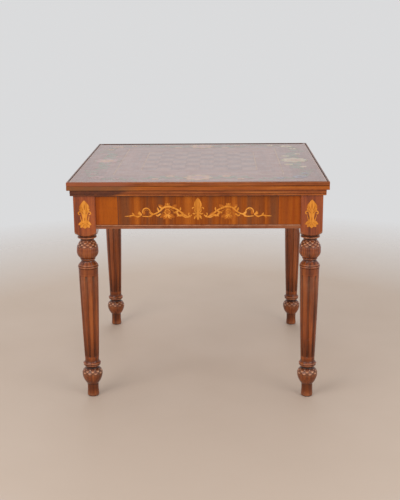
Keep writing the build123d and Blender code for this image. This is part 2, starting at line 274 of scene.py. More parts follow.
@dataclass(frozen=True)
class EndPatch:
    """A patch of another tone at the left end of a front moulding, with an uneven edge that may slant."""

    end: float
    level: float
    tone: Colour
    slant: float = 3.1
    fade: float = 0.030
    front: float = -0.400
    front_fade: float = 0.010
    strength: float = 0.85

    PATCHES: ClassVar[Noise] = Noise(45.0, 3.0, 0.6)
    PATCH_BAND: ClassVar[Band] = Band(0.3, 0.6, 0.7, 1.0)

    def over(self, shader: Shader, colour: Socket) -> Socket:
        """Lays the patch over a colour.

        Args:
            shader: The material that is being made.
            colour: The colour below.

        Returns:
            The patched colour's socket.
        """
        x, y, z = shader.axes(shader.place())
        rise = shader.sum("SUBTRACT", z, self.level)
        edge = shader.sum("MULTIPLY_ADD", rise, -self.slant, x)
        share = shader.spread(edge, Band(self.end, self.end - self.fade, 0.0, self.strength))
        front = shader.spread(y, Band(self.front, self.front - self.front_fade))
        patchy = shader.spread(shader.cloud(shader.place(), self.PATCHES), self.PATCH_BAND)
        share = shader.sum("MULTIPLY", shader.sum("MULTIPLY", share, front), patchy)
        return shader.mix(share, colour, self.tone)


@dataclass(frozen=True)
class Wood:
    """Wood with streaks, fibres, pores and polish."""

    name: str
    dark: Colour
    middle: Colour
    light: Colour
    grain: Grain
    streak: float = 0.012
    contrast: float = 1.0
    cloudiness: float = 0.25
    roughness: float = 0.30
    polish: float = 0.7
    polish_roughness: float = 0.10
    polish_index: float = 1.5
    shine: float = 0.2
    zone_width: float = 0.04
    zones: float = 0.0
    zone_dull: Colour = (0.16, 0.055, 0.022)
    zone_bright: Colour = (0.50, 0.135, 0.014)
    pores: float = 0.5
    relief: float = 0.00012
    along_share: float = 0.05
    shift: Place = (0.0, 0.0, 0.0)
    # worn paints old polish and painted shade into the hollows, and rubbing and painted highlights onto the
    # high places
    worn: bool = False
    # the colour of the rubbing and painted highlights on the high places
    rubbed_tone: Colour | None = None
    high_from: float = 0.0
    high_tint: Colour = (1.0, 1.0, 1.0)
    end_patch: EndPatch | None = None

    FIBRES: ClassVar[Noise] = Noise((900.0, 900.0, 35.0), 3.0, 0.6)
    DASHES: ClassVar[Noise] = Noise((1500.0, 1500.0, 70.0), 1.0)
    CLOUDS: ClassVar[Noise] = Noise(7.0, 3.0, 0.55, 0.3)
    SMEARS: ClassVar[Noise] = Noise(23.0, 3.0, 0.6, 0.4)
    PATCHES: ClassVar[Noise] = Noise(60.0, 3.0, 0.6)
    BROAD_SHARE: ClassVar[float] = 0.55
    BANDS_SHARE: ClassVar[float] = 0.45
    FIBRES_SHARE: ClassVar[float] = 0.16
    FIGURE_REACH: ClassVar[float] = 0.17
    TONE_STOPS: ClassVar[tuple[float, ...]] = (0.05, 0.5, 0.95)
    CLOUD_BAND: ClassVar[Band] = Band(0.42, 0.72, 0.0, 0.75)
    PORE_TONE: ClassVar[float] = 0.35
    ZONE_LENGTH_SHARE: ClassVar[float] = 0.01
    ZONE_MIDDLE: ClassVar[float] = 0.50
    ZONE_REACH: ClassVar[float] = 0.16
    HIGH_FADE: ClassVar[float] = 0.02
    DEEP_BAND: ClassVar[Band] = Band(0.25, 0.6, 0.65, 1.0)
    DEEP_TONE: ClassVar[float] = 0.22
    RUBBED_AND_HIGHLIGHT_BAND: ClassVar[Band] = Band(0.35, 0.65, 0.25, 0.8)
    RUBBED_AND_HIGHLIGHT_SHARE: ClassVar[float] = 1.35
    PORE_ROUGHNESS: ClassVar[float] = 0.15
    FIBRE_HEIGHT: ClassVar[float] = 0.35
    PORE_HEIGHT: ClassVar[float] = -0.8

    def grain_place(self, shader: Shader) -> Socket:
        """The place with the grain always along its third axis.

        Args:
            shader: The material that is being made.

        Returns:
            The turned place's socket.
        """
        moved = shader.moved("ADD", shader.place(), self.shift)
        if self.grain is Grain.UPRIGHT:
            return moved
        x, y, z = shader.axes(moved)
        along_x = shader.joined(y, z, x)
        if self.grain is Grain.ALONG_X:
            return along_x
        along_y = shader.joined(x, z, y)
        if self.grain is Grain.ALONG_Y:
            return along_y
        aside, ahead, _ = shader.axes(shader.place())
        beyond = shader.sum("GREATER_THAN", shader.sum("ABSOLUTE", aside), shader.sum("ABSOLUTE", ahead))
        made = shader.node("ShaderNodeMix", {0: beyond, 4: along_x, 5: along_y}, data_type="VECTOR")
        return made.outputs[1]

    def material(self) -> bpy.types.Material:
        """Makes the material.

        Returns:
            The wood's material.
        """
        shader = Shader(self.name)
        grain = self.grain_place(shader)
        fibres = shader.cloud(grain, self.FIBRES)
        pore = shader.spread(shader.cloud(grain, self.DASHES), Band(0.60, 0.70, 0.0, self.pores))
        colour = self.figured_colour(shader, grain, fibres)
        if self.zones:
            colour = self.zoned_colour(shader, grain, colour)
        clouds = shader.spread(shader.cloud(shader.place(), self.CLOUDS), self.CLOUD_BAND)
        cloudy = shader.mix(0.5, colour, toned(self.middle, 1.0 - self.cloudiness))
        colour = shader.mix(clouds, colour, cloudy)
        colour = shader.mix(pore, colour, toned(self.dark, self.PORE_TONE))
        if self.high_from:
            level = shader.axes(shader.place())[2]
            high = shader.spread(level, Band(self.high_from, self.high_from + self.HIGH_FADE))
            colour = shader.mix(high, colour, shader.mix(1.0, colour, self.high_tint, "MULTIPLY"))
        if self.worn:
            colour = self.wear_shade_and_highlight_colour(shader, colour)
        if self.end_patch:
            colour = self.end_patch.over(shader, colour)
        smears = shader.cloud(shader.place(), self.SMEARS)
        roughness = shader.spread(smears, Band(0.3, 0.7, self.roughness * 0.8, self.roughness * 1.25))
        roughness = shader.sum("MULTIPLY_ADD", pore, self.PORE_ROUGHNESS, roughness, clamp=True)
        height = shader.sum("MULTIPLY_ADD", fibres, self.FIBRE_HEIGHT,
                            shader.sum("MULTIPLY", pore, self.PORE_HEIGHT))
        shader.fixed(Coat_Weight=self.polish, Coat_Roughness=self.polish_roughness,
                     Coat_IOR=self.polish_index, Specular_IOR_Level=self.shine)
        return shader.finish(colour, roughness, height, self.relief)

    def figured_colour(self, shader: Shader, grain: Socket, fibres: Socket) -> Socket:
        """Colours the wood by its broad streaks, its narrow bands and its fibres.

        Args:
            shader: The material that is being made.
            grain: The place along the grain.
            fibres: The noise of the fibres.

        Returns:
            The figured colour's socket.
        """
        across = 1.0 / self.streak
        along = across * self.along_share
        broad = shader.cloud(grain, Noise((across, across, along), 4.0, 0.62, 0.35))
        bands = shader.cloud(grain, Noise((across / 3, across / 3, along / 4), 2.0, 0.5, 0.6))
        figure = shader.sum("MULTIPLY_ADD", broad, self.BROAD_SHARE,
                            shader.sum("MULTIPLY", bands, self.BANDS_SHARE))
        level = shader.sum("SUBTRACT", figure, self.FIBRES_SHARE / 2)
        figure = shader.sum("MULTIPLY_ADD", fibres, self.FIBRES_SHARE, level)
        reach = self.FIGURE_REACH / self.contrast
        tone = shader.spread(figure, Band(0.5 - reach, 0.5 + reach))
        return shader.ramp(tone, tuple(zip(self.TONE_STOPS, (self.dark, self.middle, self.light))))

    def zoned_colour(self, shader: Shader, grain: Socket, colour: Socket) -> Socket:
        """Adds broad duller and brighter zones along the grain.

        Args:
            shader: The material that is being made.
            grain: The place along the grain.
            colour: The wood's own colour.

        Returns:
            The zoned colour's socket.
        """
        across = 1.0 / self.zone_width
        zones = shader.cloud(grain, Noise((across, across, across * self.ZONE_LENGTH_SHARE), 1.0, 0.5, 0.2))
        for way, tone in ((-1, self.zone_dull), (1, self.zone_bright)):
            band = Band(self.ZONE_MIDDLE, self.ZONE_MIDDLE + way * self.ZONE_REACH, 0.0, self.zones)
            colour = shader.mix(shader.spread(zones, band), colour, tone)
        return colour

    def wear_shade_and_highlight_colour(self, shader: Shader, colour: Socket) -> Socket:
        """Darkens the hollows with old polish and painted shade, and lightens the high places with rubbing
        and painted highlights.

        Args:
            shader: The material that is being made.
            colour: The wood's own colour.

        Returns:
            The worn colour's socket.
        """
        patchy = shader.cloud(shader.place(), self.PATCHES)
        # old polish with painted shade in the hollows, rubbing with painted highlights on the high places
        deep, high = (shader.sum("MULTIPLY", shader.painted(layer), shader.spread(patchy, band), clamp=True)
                      for layer, band in (("polish_and_shade", self.DEEP_BAND), ("rubbed", self.RUBBED_AND_HIGHLIGHT_BAND)))
        colour = shader.mix(deep, colour, toned(self.dark, self.DEEP_TONE))
        return shader.mix(high, colour, self.rubbed_tone or toned(self.light, self.RUBBED_AND_HIGHLIGHT_SHARE))


@dataclass(frozen=True)
class Felt:
    """Wool baize with a short nap."""

    name: str
    colour: Colour
    worn: Colour

    NAP: ClassVar[Noise] = Noise(1400.0, 3.0, 0.7)
    TUFTS: ClassVar[Noise] = Noise(320.0, 4.0, 0.65, 0.6)
    PATCHES: ClassVar[Noise] = Noise(6.0, 3.0, 0.5, 0.3)
    NAP_BAND: ClassVar[Band] = Band(0.35, 0.65)
    TUFT_WEAR: ClassVar[Band] = Band(0.45, 0.75, 0.0, 0.35)
    PATCH_WEAR: ClassVar[Band] = Band(0.5, 0.8, 0.0, 0.3)
    ROUGHNESS: ClassVar[Band] = Band(0.3, 0.7, 0.85, 0.98)
    NAP_TONE: ClassVar[float] = 0.62
    NAP_DEPTH: ClassVar[float] = 0.0004

    def material(self) -> bpy.types.Material:
        """Makes the material.

        Returns:
            The baize's material.
        """
        shader = Shader(self.name)
        nap, tufts, patches = (
            shader.cloud(shader.place(), noise) for noise in (self.NAP, self.TUFTS, self.PATCHES))
        colour = shader.mix(shader.spread(nap, self.NAP_BAND), toned(self.colour, self.NAP_TONE), self.colour)
        colour = shader.mix(shader.spread(tufts, self.TUFT_WEAR), colour, self.worn)
        colour = shader.mix(shader.spread(patches, self.PATCH_WEAR), colour, self.worn)
        height = shader.sum("MULTIPLY_ADD", nap, 0.5, shader.sum("MULTIPLY", tufts, 0.5))
        shader.fixed(Sheen_Weight=0.35, Sheen_Roughness=0.45)
        return shader.finish(colour, shader.spread(tufts, self.ROUGHNESS), height, self.NAP_DEPTH)


@dataclass(frozen=True)
class Metal:
    """Old brass or iron, brushed, handled and a little tarnished."""

    name: str
    clean: Colour
    tarnished: Colour
    roughness: float

    SCRATCHES: ClassVar[Noise] = Noise((60.0, 1400.0, 1400.0))
    BLOTCHES: ClassVar[Noise] = Noise(85.0, 4.0, 0.6, 0.5)
    SPECKS: ClassVar[Noise] = Noise(900.0)
    BLOTCH_BAND: ClassVar[Band] = Band(0.42, 0.7, 0.0, 0.85)
    SPECK_BAND: ClassVar[Band] = Band(0.62, 0.75, 0.0, 0.5)
    RELIEF: ClassVar[float] = 0.00004

    def material(self) -> bpy.types.Material:
        """Makes the material.

        Returns:
            The metal's material.
        """
        shader = Shader(self.name)
        scratches, blotches, specks = (
            shader.cloud(shader.place(), noise) for noise in (self.SCRATCHES, self.BLOTCHES, self.SPECKS))
        colour = shader.mix(shader.spread(blotches, self.BLOTCH_BAND), self.clean, self.tarnished)
        colour = shader.mix(shader.spread(specks, self.SPECK_BAND), colour, self.tarnished)
        roughness = shader.spread(blotches, Band(0.3, 0.7, self.roughness * 0.75, self.roughness * 1.3))
        height = shader.sum("MULTIPLY_ADD", scratches, 0.5, shader.sum("MULTIPLY", specks, 0.3))
        shader.fixed(Metallic=1.0)
        return shader.finish(colour, roughness, height, self.RELIEF)


WALNUT_DARK, WALNUT, WALNUT_LIGHT = (0.070, 0.014, 0.004), (0.215, 0.052, 0.013), (0.33, 0.095, 0.024)
HONEY_DARK, HONEY, HONEY_LIGHT = (0.46, 0.145, 0.012), (0.72, 0.255, 0.028), (0.88, 0.38, 0.07)
FLOWER_COLOURS = {
    "rose": (0.31, 0.130, 0.110), "straw": (0.45, 0.32, 0.18), "peach": (0.40, 0.19, 0.090),
    "leaf": (0.135, 0.128, 0.058), "blue": (0.16, 0.115, 0.150),
}
TOP_GLOSS = {"polish": 0.66, "polish_roughness": 0.06, "polish_index": 1.68, "roughness": 0.35,
             "shine": 0.15, "relief": 0.000004, "cloudiness": 0.2, "pores": 0.15}
SCROLL_SHEEN = {"polish": 0.15, "shine": 0.1}
DULL = {"polish": 0.0, "roughness": 0.6, "shine": 0.0}


class Finishes:
    """Every finish of the table, made once and handed to the pieces by name."""

    def __init__(self) -> None:
        """Makes all the materials."""
        woods = self.case_woods() | self.edge_woods() | self.top_woods() | self.inlay_woods()
        self.materials = {name: wood.material() for name, wood in woods.items()}
        self.materials["baize"] = Felt("green_baize", (0.030, 0.165, 0.068), (0.085, 0.250, 0.120)).material()
        brass = Metal("hinge_brass_finish", (0.74, 0.54, 0.24), (0.30, 0.19, 0.08), 0.32)
        iron = Metal("pivot_iron_finish", (0.16, 0.15, 0.145), (0.06, 0.045, 0.035), 0.45)
        self.materials |= {"brass": brass.material(), "iron": iron.material()}

    @staticmethod
    def case_woods() -> dict[str, Wood]:
        """The woods of the legs, the case and the leaves' boards."""
        return {
            "leg": Wood(
                "leg_polish", (0.088, 0.017, 0.004), (0.262, 0.056, 0.010), (0.39, 0.099, 0.017),
                Grain.UPRIGHT, streak=0.009, cloudiness=0.35, worn=True, polish=0.30, roughness=0.22,
                shine=0.25,
                # a bright peach painted highlight on the carved leaf tips, the rings and the block's arrises,
                # over their rubbing
                rubbed_tone=(0.96, 0.52, 0.30), high_from=0.585, high_tint=(1.08, 1.00, 1.00)),
            "case": Wood(
                "case_polish", WALNUT_DARK, WALNUT, WALNUT_LIGHT, Grain.ROUND_THE_SQUARE, streak=0.016,
                polish=0.2),
            "panel": Wood(
                "panel_veneer_polish", (0.120, 0.024, 0.005), (0.278, 0.059, 0.005), (0.40, 0.098, 0.008),
                Grain.UPRIGHT, streak=0.0042, contrast=0.72, cloudiness=0.25, along_share=0.04, polish=0.12,
                shine=0.05, zones=0.68, zone_width=0.030, shift=(0.039, 0.0, 0.0)),
            "strip": Wood(
                "strip_veneer_polish", (0.20, 0.033, 0.003), (0.318, 0.061, 0.005), (0.42, 0.100, 0.008),
                Grain.UPRIGHT, streak=0.012, contrast=0.9, polish=0.12, shine=0.05, zones=0.35,
                zone_width=0.03, zone_dull=(0.24, 0.065, 0.014), zone_bright=(0.48, 0.125, 0.010)),
            "board": Wood(
                "leaf_board", (0.20, 0.075, 0.025), (0.33, 0.13, 0.045), (0.42, 0.18, 0.065), Grain.ALONG_X,
                polish=0.2, roughness=0.45),
            "floor": Wood(
                "bare_softwood", (0.36, 0.21, 0.09), (0.50, 0.32, 0.16), (0.60, 0.42, 0.23), Grain.ALONG_X,
                streak=0.02, polish=0.0, roughness=0.6, relief=0.0003),
        }

    @staticmethod
    def edge_woods() -> dict[str, Wood]:
        """The woods of the mouldings and of the leaves' edges."""
        around = Grain.ROUND_THE_SQUARE
        return {
            "moulding": Wood(
                "moulding_polish", (0.105, 0.019, 0.005), (0.295, 0.070, 0.016), (0.44, 0.133, 0.028),
                around, streak=0.007, worn=True, cloudiness=0.35, polish=0.2, shine=0.1,
                # a darker, greyer patch over the left end of the front cornice
                end_patch=EndPatch(-0.265, 0.722, (0.075, 0.026, 0.017))),
            "bead": Wood(
                "base_moulding_polish", (0.115, 0.026, 0.010), (0.300, 0.090, 0.032), (0.46, 0.165, 0.060),
                around, streak=0.007, worn=True, cloudiness=0.35, polish=0.2, shine=0.1,
                # painted highlight with rubbing along the bead's rounded edges
                rubbed_tone=(0.58, 0.28, 0.16)),
            "lower_edge": Wood(
                "lower_edge_polish", (0.17, 0.034, 0.005), (0.345, 0.081, 0.008), (0.50, 0.155, 0.016),
                around, streak=0.008, worn=True, cloudiness=0.4, polish=0.2, shine=0.1, zones=0.35,
                zone_width=0.012, zone_dull=(0.30, 0.065, 0.020), zone_bright=(0.56, 0.19, 0.016),
                end_patch=EndPatch(-0.190, 0.742, (0.175, 0.070, 0.027), slant=0.0, fade=0.060)),
            "upper_edge": Wood(
                "upper_edge_polish", (0.13, 0.026, 0.006), (0.310, 0.076, 0.014), (0.44, 0.130, 0.022),
                around, streak=0.008, worn=True, cloudiness=0.4, polish=0.12, shine=0.08,
                # a pale painted highlight along the upper leaf's rounded crown
                rubbed_tone=(0.42, 0.20, 0.12),
                end_patch=EndPatch(-0.190, 0.756, (0.285, 0.083, 0.040), slant=0.0, fade=0.060)),
            # a dull dark finish on the upper leaf's back lipping: painted dark reflection along the far edge
            "back_edge_dark_reflection": Wood(
                "back_edge_painted_dark_reflection", (0.075, 0.018, 0.008), (0.145, 0.036, 0.014), (0.210, 0.058, 0.022),
                around, streak=0.008, cloudiness=0.4, **DULL),
        }

    @staticmethod
    def top_woods() -> dict[str, Wood]:
        """The glossy woods of the top's borders and chessboard."""
        around = Grain.ROUND_THE_SQUARE
        return {
            "outer_border": Wood(
                "outer_border_polish", (0.122, 0.033, 0.022), (0.187, 0.060, 0.040), (0.244, 0.090, 0.060),
                around, streak=0.010, **TOP_GLOSS),
            "inner_border": Wood(
                "inner_border_polish", (0.146, 0.043, 0.028), (0.216, 0.073, 0.049), (0.283, 0.106, 0.071),
                around, streak=0.008, **TOP_GLOSS),
            "banding": Wood(
                "banding_polish", (0.24, 0.100, 0.045), (0.33, 0.150, 0.066), (0.40, 0.200, 0.095), around,
                streak=0.004, **TOP_GLOSS),
            "dark_square": Wood(
                "dark_square_polish", (0.112, 0.032, 0.023), (0.166, 0.053, 0.038), (0.216, 0.078, 0.056),
                Grain.ALONG_X, streak=0.006, **TOP_GLOSS),
            "light_square": Wood(
                "light_square_polish", (0.190, 0.073, 0.046), (0.250, 0.103, 0.069), (0.307, 0.140, 0.098),
                Grain.ALONG_Y, streak=0.006, **TOP_GLOSS),
        }

    @staticmethod
    def inlay_woods() -> dict[str, Wood]:
        """The thin inlaid woods: scrolls, lines and flowers."""
        around = Grain.ROUND_THE_SQUARE
        woods = {
            "honey": Wood(
                "scroll_inlay", HONEY_DARK, HONEY, HONEY_LIGHT, Grain.UPRIGHT, streak=0.005, pores=0.2,
                contrast=0.9, **SCROLL_SHEEN),
            "shaded_honey": Wood(
                "shaded_scroll_inlay", (0.30, 0.075, 0.006), (0.50, 0.150, 0.012), (0.64, 0.22, 0.024),
                Grain.UPRIGHT, streak=0.004, pores=0.3, **SCROLL_SHEEN),
            "scorched": Wood(
                "scorched_ground_inlay", (0.30, 0.070, 0.006), (0.44, 0.115, 0.009), (0.56, 0.165, 0.014),
                Grain.UPRIGHT, streak=0.004, pores=0.3, **SCROLL_SHEEN),
            # a pale painted highlight line inside the top's rim
            "pale_line": Wood(
                "pale_line_inlay", (0.27, 0.110, 0.060), (0.36, 0.160, 0.090), (0.44, 0.220, 0.130),
                around, streak=0.004, **TOP_GLOSS),
            # a dull dark painted reflection line round the top's rim
            "rim_line": Wood(
                "rim_line_inlay", (0.026, 0.009, 0.005), (0.045, 0.016, 0.009), (0.070, 0.025, 0.015),
                around, streak=0.005, **DULL),
            # dark lines round the panels; the wide one along each panel's top is painted shadow under the
            # cornice
            "dark_line": Wood(
                "dark_line_and_painted_shadow", (0.016, 0.005, 0.003), (0.040, 0.010, 0.004), (0.070, 0.018, 0.007),
                around, streak=0.004),
        }
        for name, colour in FLOWER_COLOURS.items():
            woods[name] = Wood(f"{name}_inlay", toned(colour, 0.62), colour, toned(colour, 1.2),
                               Grain.ALONG_X, streak=0.004, **TOP_GLOSS)
        return woods

    def __getitem__(self, name: str) -> bpy.types.Material:
        """The material of one finish."""
        return self.materials[name]

    def dress(self, finish: str, *nodes: str) -> None:
        """Gives carried-over nodes their finish.

        Args:
            finish: The finish's name.
            nodes: The nodes' names.
        """
        for name in nodes:
            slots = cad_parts[name].data.materials
            slots.clear()
            slots.append(self.materials[finish])


class Sketch:
    """Gathers the points and faces of one piece before they become a mesh."""

    def __init__(self) -> None:
        """Starts with no points and no faces."""
        self.points: list[Place] = []
        self.faces: list[Face] = []
        # one layer holds old polish with painted shade, the other rubbing with painted highlights
        self.layers: dict[str, list[float]] = {"polish_and_shade": [], "rubbed": []}

    def add(self, points: np.ndarray, faces: list[Face], polish_and_shade: np.ndarray | None = None,
            rubbed: np.ndarray | None = None) -> None:
        """Adds a part with faces numbered from its own first point.

        Args:
            points: The part's points, one row each.
            faces: The part's faces.
            polish_and_shade: How much old polish and painted shade darken each point, from 0 to 1.
            rubbed: How much rubbing and painted highlight lighten each point, from 0 to 1.
        """
        first = len(self.points)
        self.points += [tuple(row) for row in points.tolist()]
        self.faces += [tuple(first + corner for corner in face) for face in faces]
        for name, layer in (("polish_and_shade", polish_and_shade), ("rubbed", rubbed)):
            self.layers[name] += np.zeros(len(points)).tolist() if layer is None else layer.tolist()

    def piece(self, name: str, finish: bpy.types.Material, body: str, slot: str,
              replaces: tuple[str, ...] = (), crease: float = 35.0) -> bpy.types.Object:
        """Makes the mesh object and joins it to its body.

        Args:
            name: The piece's name.
            finish: Its material.
            body: The body that it rides on.
            slot: Not used.
            replaces: The nodes that it stands for.
            crease: The angle in degrees past which an edge stays sharp.

        Returns:
            The new object.
        """
        mesh = bpy.data.meshes.new(name)
        mesh.from_pydata(self.points, [], self.faces)
        for layer, values in self.layers.items():
            if any(values):
                made = mesh.attributes.new(layer, "FLOAT", "POINT")
                made.data.foreach_set("value", values)
        mesh.materials.append(finish)
        mesh.polygons.foreach_set("use_smooth", [True] * len(mesh.polygons))
        mesh.set_sharp_from_angle(angle=math.radians(crease))
        made = bpy.data.objects.new(name, mesh)
        bpy.context.scene.collection.objects.link(made)
        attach(made, body)
        if replaces:
            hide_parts(*replaces)
        LOG.info("%s: %d faces on %s", name, len(mesh.polygons), body)
        return made


def quarter_turned(points: np.ndarray, turns: int) -> np.ndarray:
    """Points made for the front side, turned to the side that lies so many quarter turns on.

    Args:
        points: The points, one row each.
        turns: The number of quarter turns, anticlockwise from above.

    Returns:
        The turned points.
    """
    x, y, z = points.T
    for _ in range(turns % 4):
        x, y = -y, x
    return np.column_stack((x, y, z))


def bezier(a: Point, b: Point, c: Point, d: Point, steps: int) -> list[Point]:
    """Points along one cubic curve, without its first point.

    Args:
        a: Where it starts.
        b: The point that it leaves towards.
        c: The point that it arrives from.
        d: Where it ends.
        steps: How many short runs it has.

    Returns:
        The points along the curve.
    """
    points = []
    for number in range(1, steps + 1):
        t = number / steps
        shares = ((1 - t) ** 3, 3 * t * (1 - t) ** 2, 3 * t * t * (1 - t), t ** 3)
        points.append(tuple(sum(s * p[axis] for s, p in zip(shares, (a, b, c, d))) for axis in (0, 1)))
    return points


def flowing(*knots: Point, steps: int = 7) -> list[Point]:
    """A smooth line through the given knots.

    Args:
        knots: The points that it passes.
        steps: How many short runs lie between two knots.

    Returns:
        The points along the line.
    """
    line = [knots[0]]
    for number in range(len(knots) - 1):
        before = knots[max(number - 1, 0)]
        a, b = knots[number], knots[number + 1]
        after = knots[min(number + 2, len(knots) - 1)]
        lead = tuple(a[axis] + (b[axis] - before[axis]) / 6 for axis in (0, 1))
        trail = tuple(b[axis] - (after[axis] - a[axis]) / 6 for axis in (0, 1))
        line += bezier(a, lead, trail, b, steps)
    return line


def arc(centre: Point, radius: float, start: float, turn: float, end_share: float = 1.0,
        steps: int = 14) -> list[Point]:
    """A round line, which draws in or out to a share of its radius.

    Args:
        centre: The middle of the arc.
        radius: Its radius at the start.
        start: Where it starts, in degrees.
        turn: How far it goes round, in degrees.
        end_share: The radius at its end as a share of the first.
        steps: How many short runs it has.

    Returns:
        The points along the arc.
    """
    line = []
    for number in range(steps + 1):
        t = number / steps
        angle = math.radians(start + turn * t)
        reach = radius * (1 + (end_share - 1) * t)
        line.append((centre[0] + reach * math.cos(angle), centre[1] + reach * math.sin(angle)))
    return line


@dataclass(frozen=True)
class Ground:
    """A flat face that marquetry is let into."""

    origin: Place
    across: Place
    up: Place
    stand: float = 0.00010
    bed: float = 0.00025
    step: float = 0.000003

    def lift(self, points: list[Point], height: float) -> np.ndarray:
        """Places flat points at a height over the face.

        Args:
            points: The points on the face.
            height: The height over it, which is negative below it.

        Returns:
            Their places, one row each.
        """
        origin, across, up = (np.array(v) for v in (self.origin, self.across, self.up))
        out = np.cross(across, up)
        return np.array([origin + u * across + v * up + height * out for u, v in points])


class Marquetry:
    """Thin slips of wood let into one ground, gathered into one piece."""

    LEAF_SHARES = ((0.25, 0.62), (0.7, 0.55))
    LEAF_STEPS = 7

    def __init__(self, ground: Ground, mirrored: bool = False, lift: float = 0.0) -> None:
        """Starts with no slips.

        Args:
            ground: The face that they are let into.
            mirrored: Whether each slip is laid twice, to the right and to the left of the middle.
            lift: How far they stand over the slips below them.
        """
        self.ground = ground
        self.mirrored = mirrored
        self.stand = ground.stand + lift
        self.sketch = Sketch()

    def slip(self, outline: list[Point], tops: list[Face] | None = None) -> None:
        """Adds a slip, and its mirror image where the work is mirrored.

        Args:
            outline: Its outline, either way round.
            tops: The faces that its top is made of, if it is more than one.
        """
        count = len(outline)
        tops = tops or [tuple(range(count))]
        turn = sum(a[0] * b[1] - b[0] * a[1] for a, b in zip(outline, outline[1:] + outline[:1]))
        versions = [(outline, turn > 0)]
        if self.mirrored and abs(sum(u for u, _ in outline)) / count > self.ground.step:
            versions.append(([(-u, v) for u, v in outline], turn < 0))
        self.stand += self.ground.step
        for version, forward in versions:
            levels = (-self.ground.bed, self.stand)
            points = np.vstack([self.ground.lift(version, level) for level in levels])
            faces = [tuple(count + corner for corner in top) for top in tops]
            faces += [top[::-1] for top in tops]
            faces += [(i, (i + 1) % count, count + (i + 1) % count, count + i) for i in range(count)]
            self.sketch.add(points, faces if forward else [face[::-1] for face in faces])

    def stroke(self, line: list[Point], width: float, start_share: float = 0.35,
               end_share: float = 0.35) -> None:
        """Adds a curved slip that swells in the middle of its line.

        Args:
            line: The line that it follows.
            width: Its width in the middle.
            start_share: Its width at the start as a share of the middle's.
            end_share: Its width at the end as a share of the middle's.
        """
        left, right = [], []
        count = len(line) - 1
        for number, (u, v) in enumerate(line):
            before, after = line[max(number - 1, 0)], line[min(number + 1, count)]
            run = math.hypot(after[0] - before[0], after[1] - before[1]) or 1.0
            side = (-(after[1] - before[1]) / run, (after[0] - before[0]) / run)
            t = number / count
            edge = start_share if t < 0.5 else end_share
            half = width / 2 * (edge + (1 - edge) * math.sin(math.pi * t))
            left.append((u + side[0] * half, v + side[1] * half))
            right.append((u - side[0] * half, v - side[1] * half))
        last = 2 * count + 1
        tops = [(number, number + 1, last - number - 1, last - number) for number in range(count)]
        self.slip(right + left[::-1], tops)

    def leaf(self, root: Point, heading: float, length: float, width: float, bow: float = 0.0) -> None:
        """Adds a pointed leaf.

        Args:
            root: Where it starts.
            heading: The way it points, in degrees.
            length: Its length.
            width: Its width.
            bow: How far its tip swings to the left.
        """
        c, s = math.cos(math.radians(heading)), math.sin(math.radians(heading))
        (near, near_half), (far, far_half) = self.LEAF_SHARES
        left, right = ([(length * near, way * width * near_half), (length * far, way * width * far_half)]
                       for way in (1, -1))
        foot, tip = (0.0, 0.0), (length, bow)
        outline = bezier(foot, *left, tip, self.LEAF_STEPS) + bezier(tip, *right[::-1], foot, self.LEAF_STEPS)
        self.slip([(root[0] + c * x - s * y, root[1] + s * x + c * y) for x, y in outline])

    def leaves(self, *leaves: tuple) -> None:
        """Adds several leaves, each given by the values that one leaf takes."""
        for leaf in leaves:
            self.leaf(*leaf)

    def petals(self, centre: Point, radius: float, count: int, inner: float, width: float,
               turn: float) -> None:
        """Adds a ring of petals round a centre.

        Args:
            centre: The middle of the ring.
            radius: Its outer radius.
            count: How many petals it has.
            inner: The radius at which they start.
            width: The width of a petal.
            turn: Where the first one points, in degrees.
        """
        for number in range(count):
            heading = turn + 360 * number / count
            a = math.radians(heading)
            root = (centre[0] + inner * math.cos(a), centre[1] + inner * math.sin(a))
            self.leaf(root, heading, radius - inner, width)

    def disc(self, centre: Point, radius: float) -> None:
        """Adds a round slip."""
        self.slip(arc(centre, radius, 0, 360)[:-1])


@dataclass(frozen=True)
class Cut:
    """One stretch of a turned outline, from the end of the last one."""

    height: float
    radius: float
    bow_share: float = 0.0
    rings: int = 1


@dataclass(frozen=True)
class LegTurn:
    """Where the first flute and the first carved leaf of a leg look, in degrees from the X axis."""

    flutes: float
    leaves: float


@dataclass(frozen=True)
class Reeding:
    """Grooves between upright reeds all round a leg, from one height to another."""

    low: float
    high: float
    count: int
    depth: float
    end_fade: float = 0.0030

    def carve(self, angle: np.ndarray, z: np.ndarray) -> np.ndarray:
        """How deep the grooves are.

        Args:
            angle: The turns in radians.
            z: The heights.

        Returns:
            The depth at each point.
        """
        aside = ((angle * self.count / (2 * math.pi)) % 1.0 - 0.5) * 2
        end = np.clip(np.minimum(z - self.low, self.high - z) / self.end_fade, 0.0, 1.0)
        return self.depth * (1.0 - np.sqrt(np.clip(1.0 - aside ** 2, 0.0, 1.0))) * np.sqrt(end)


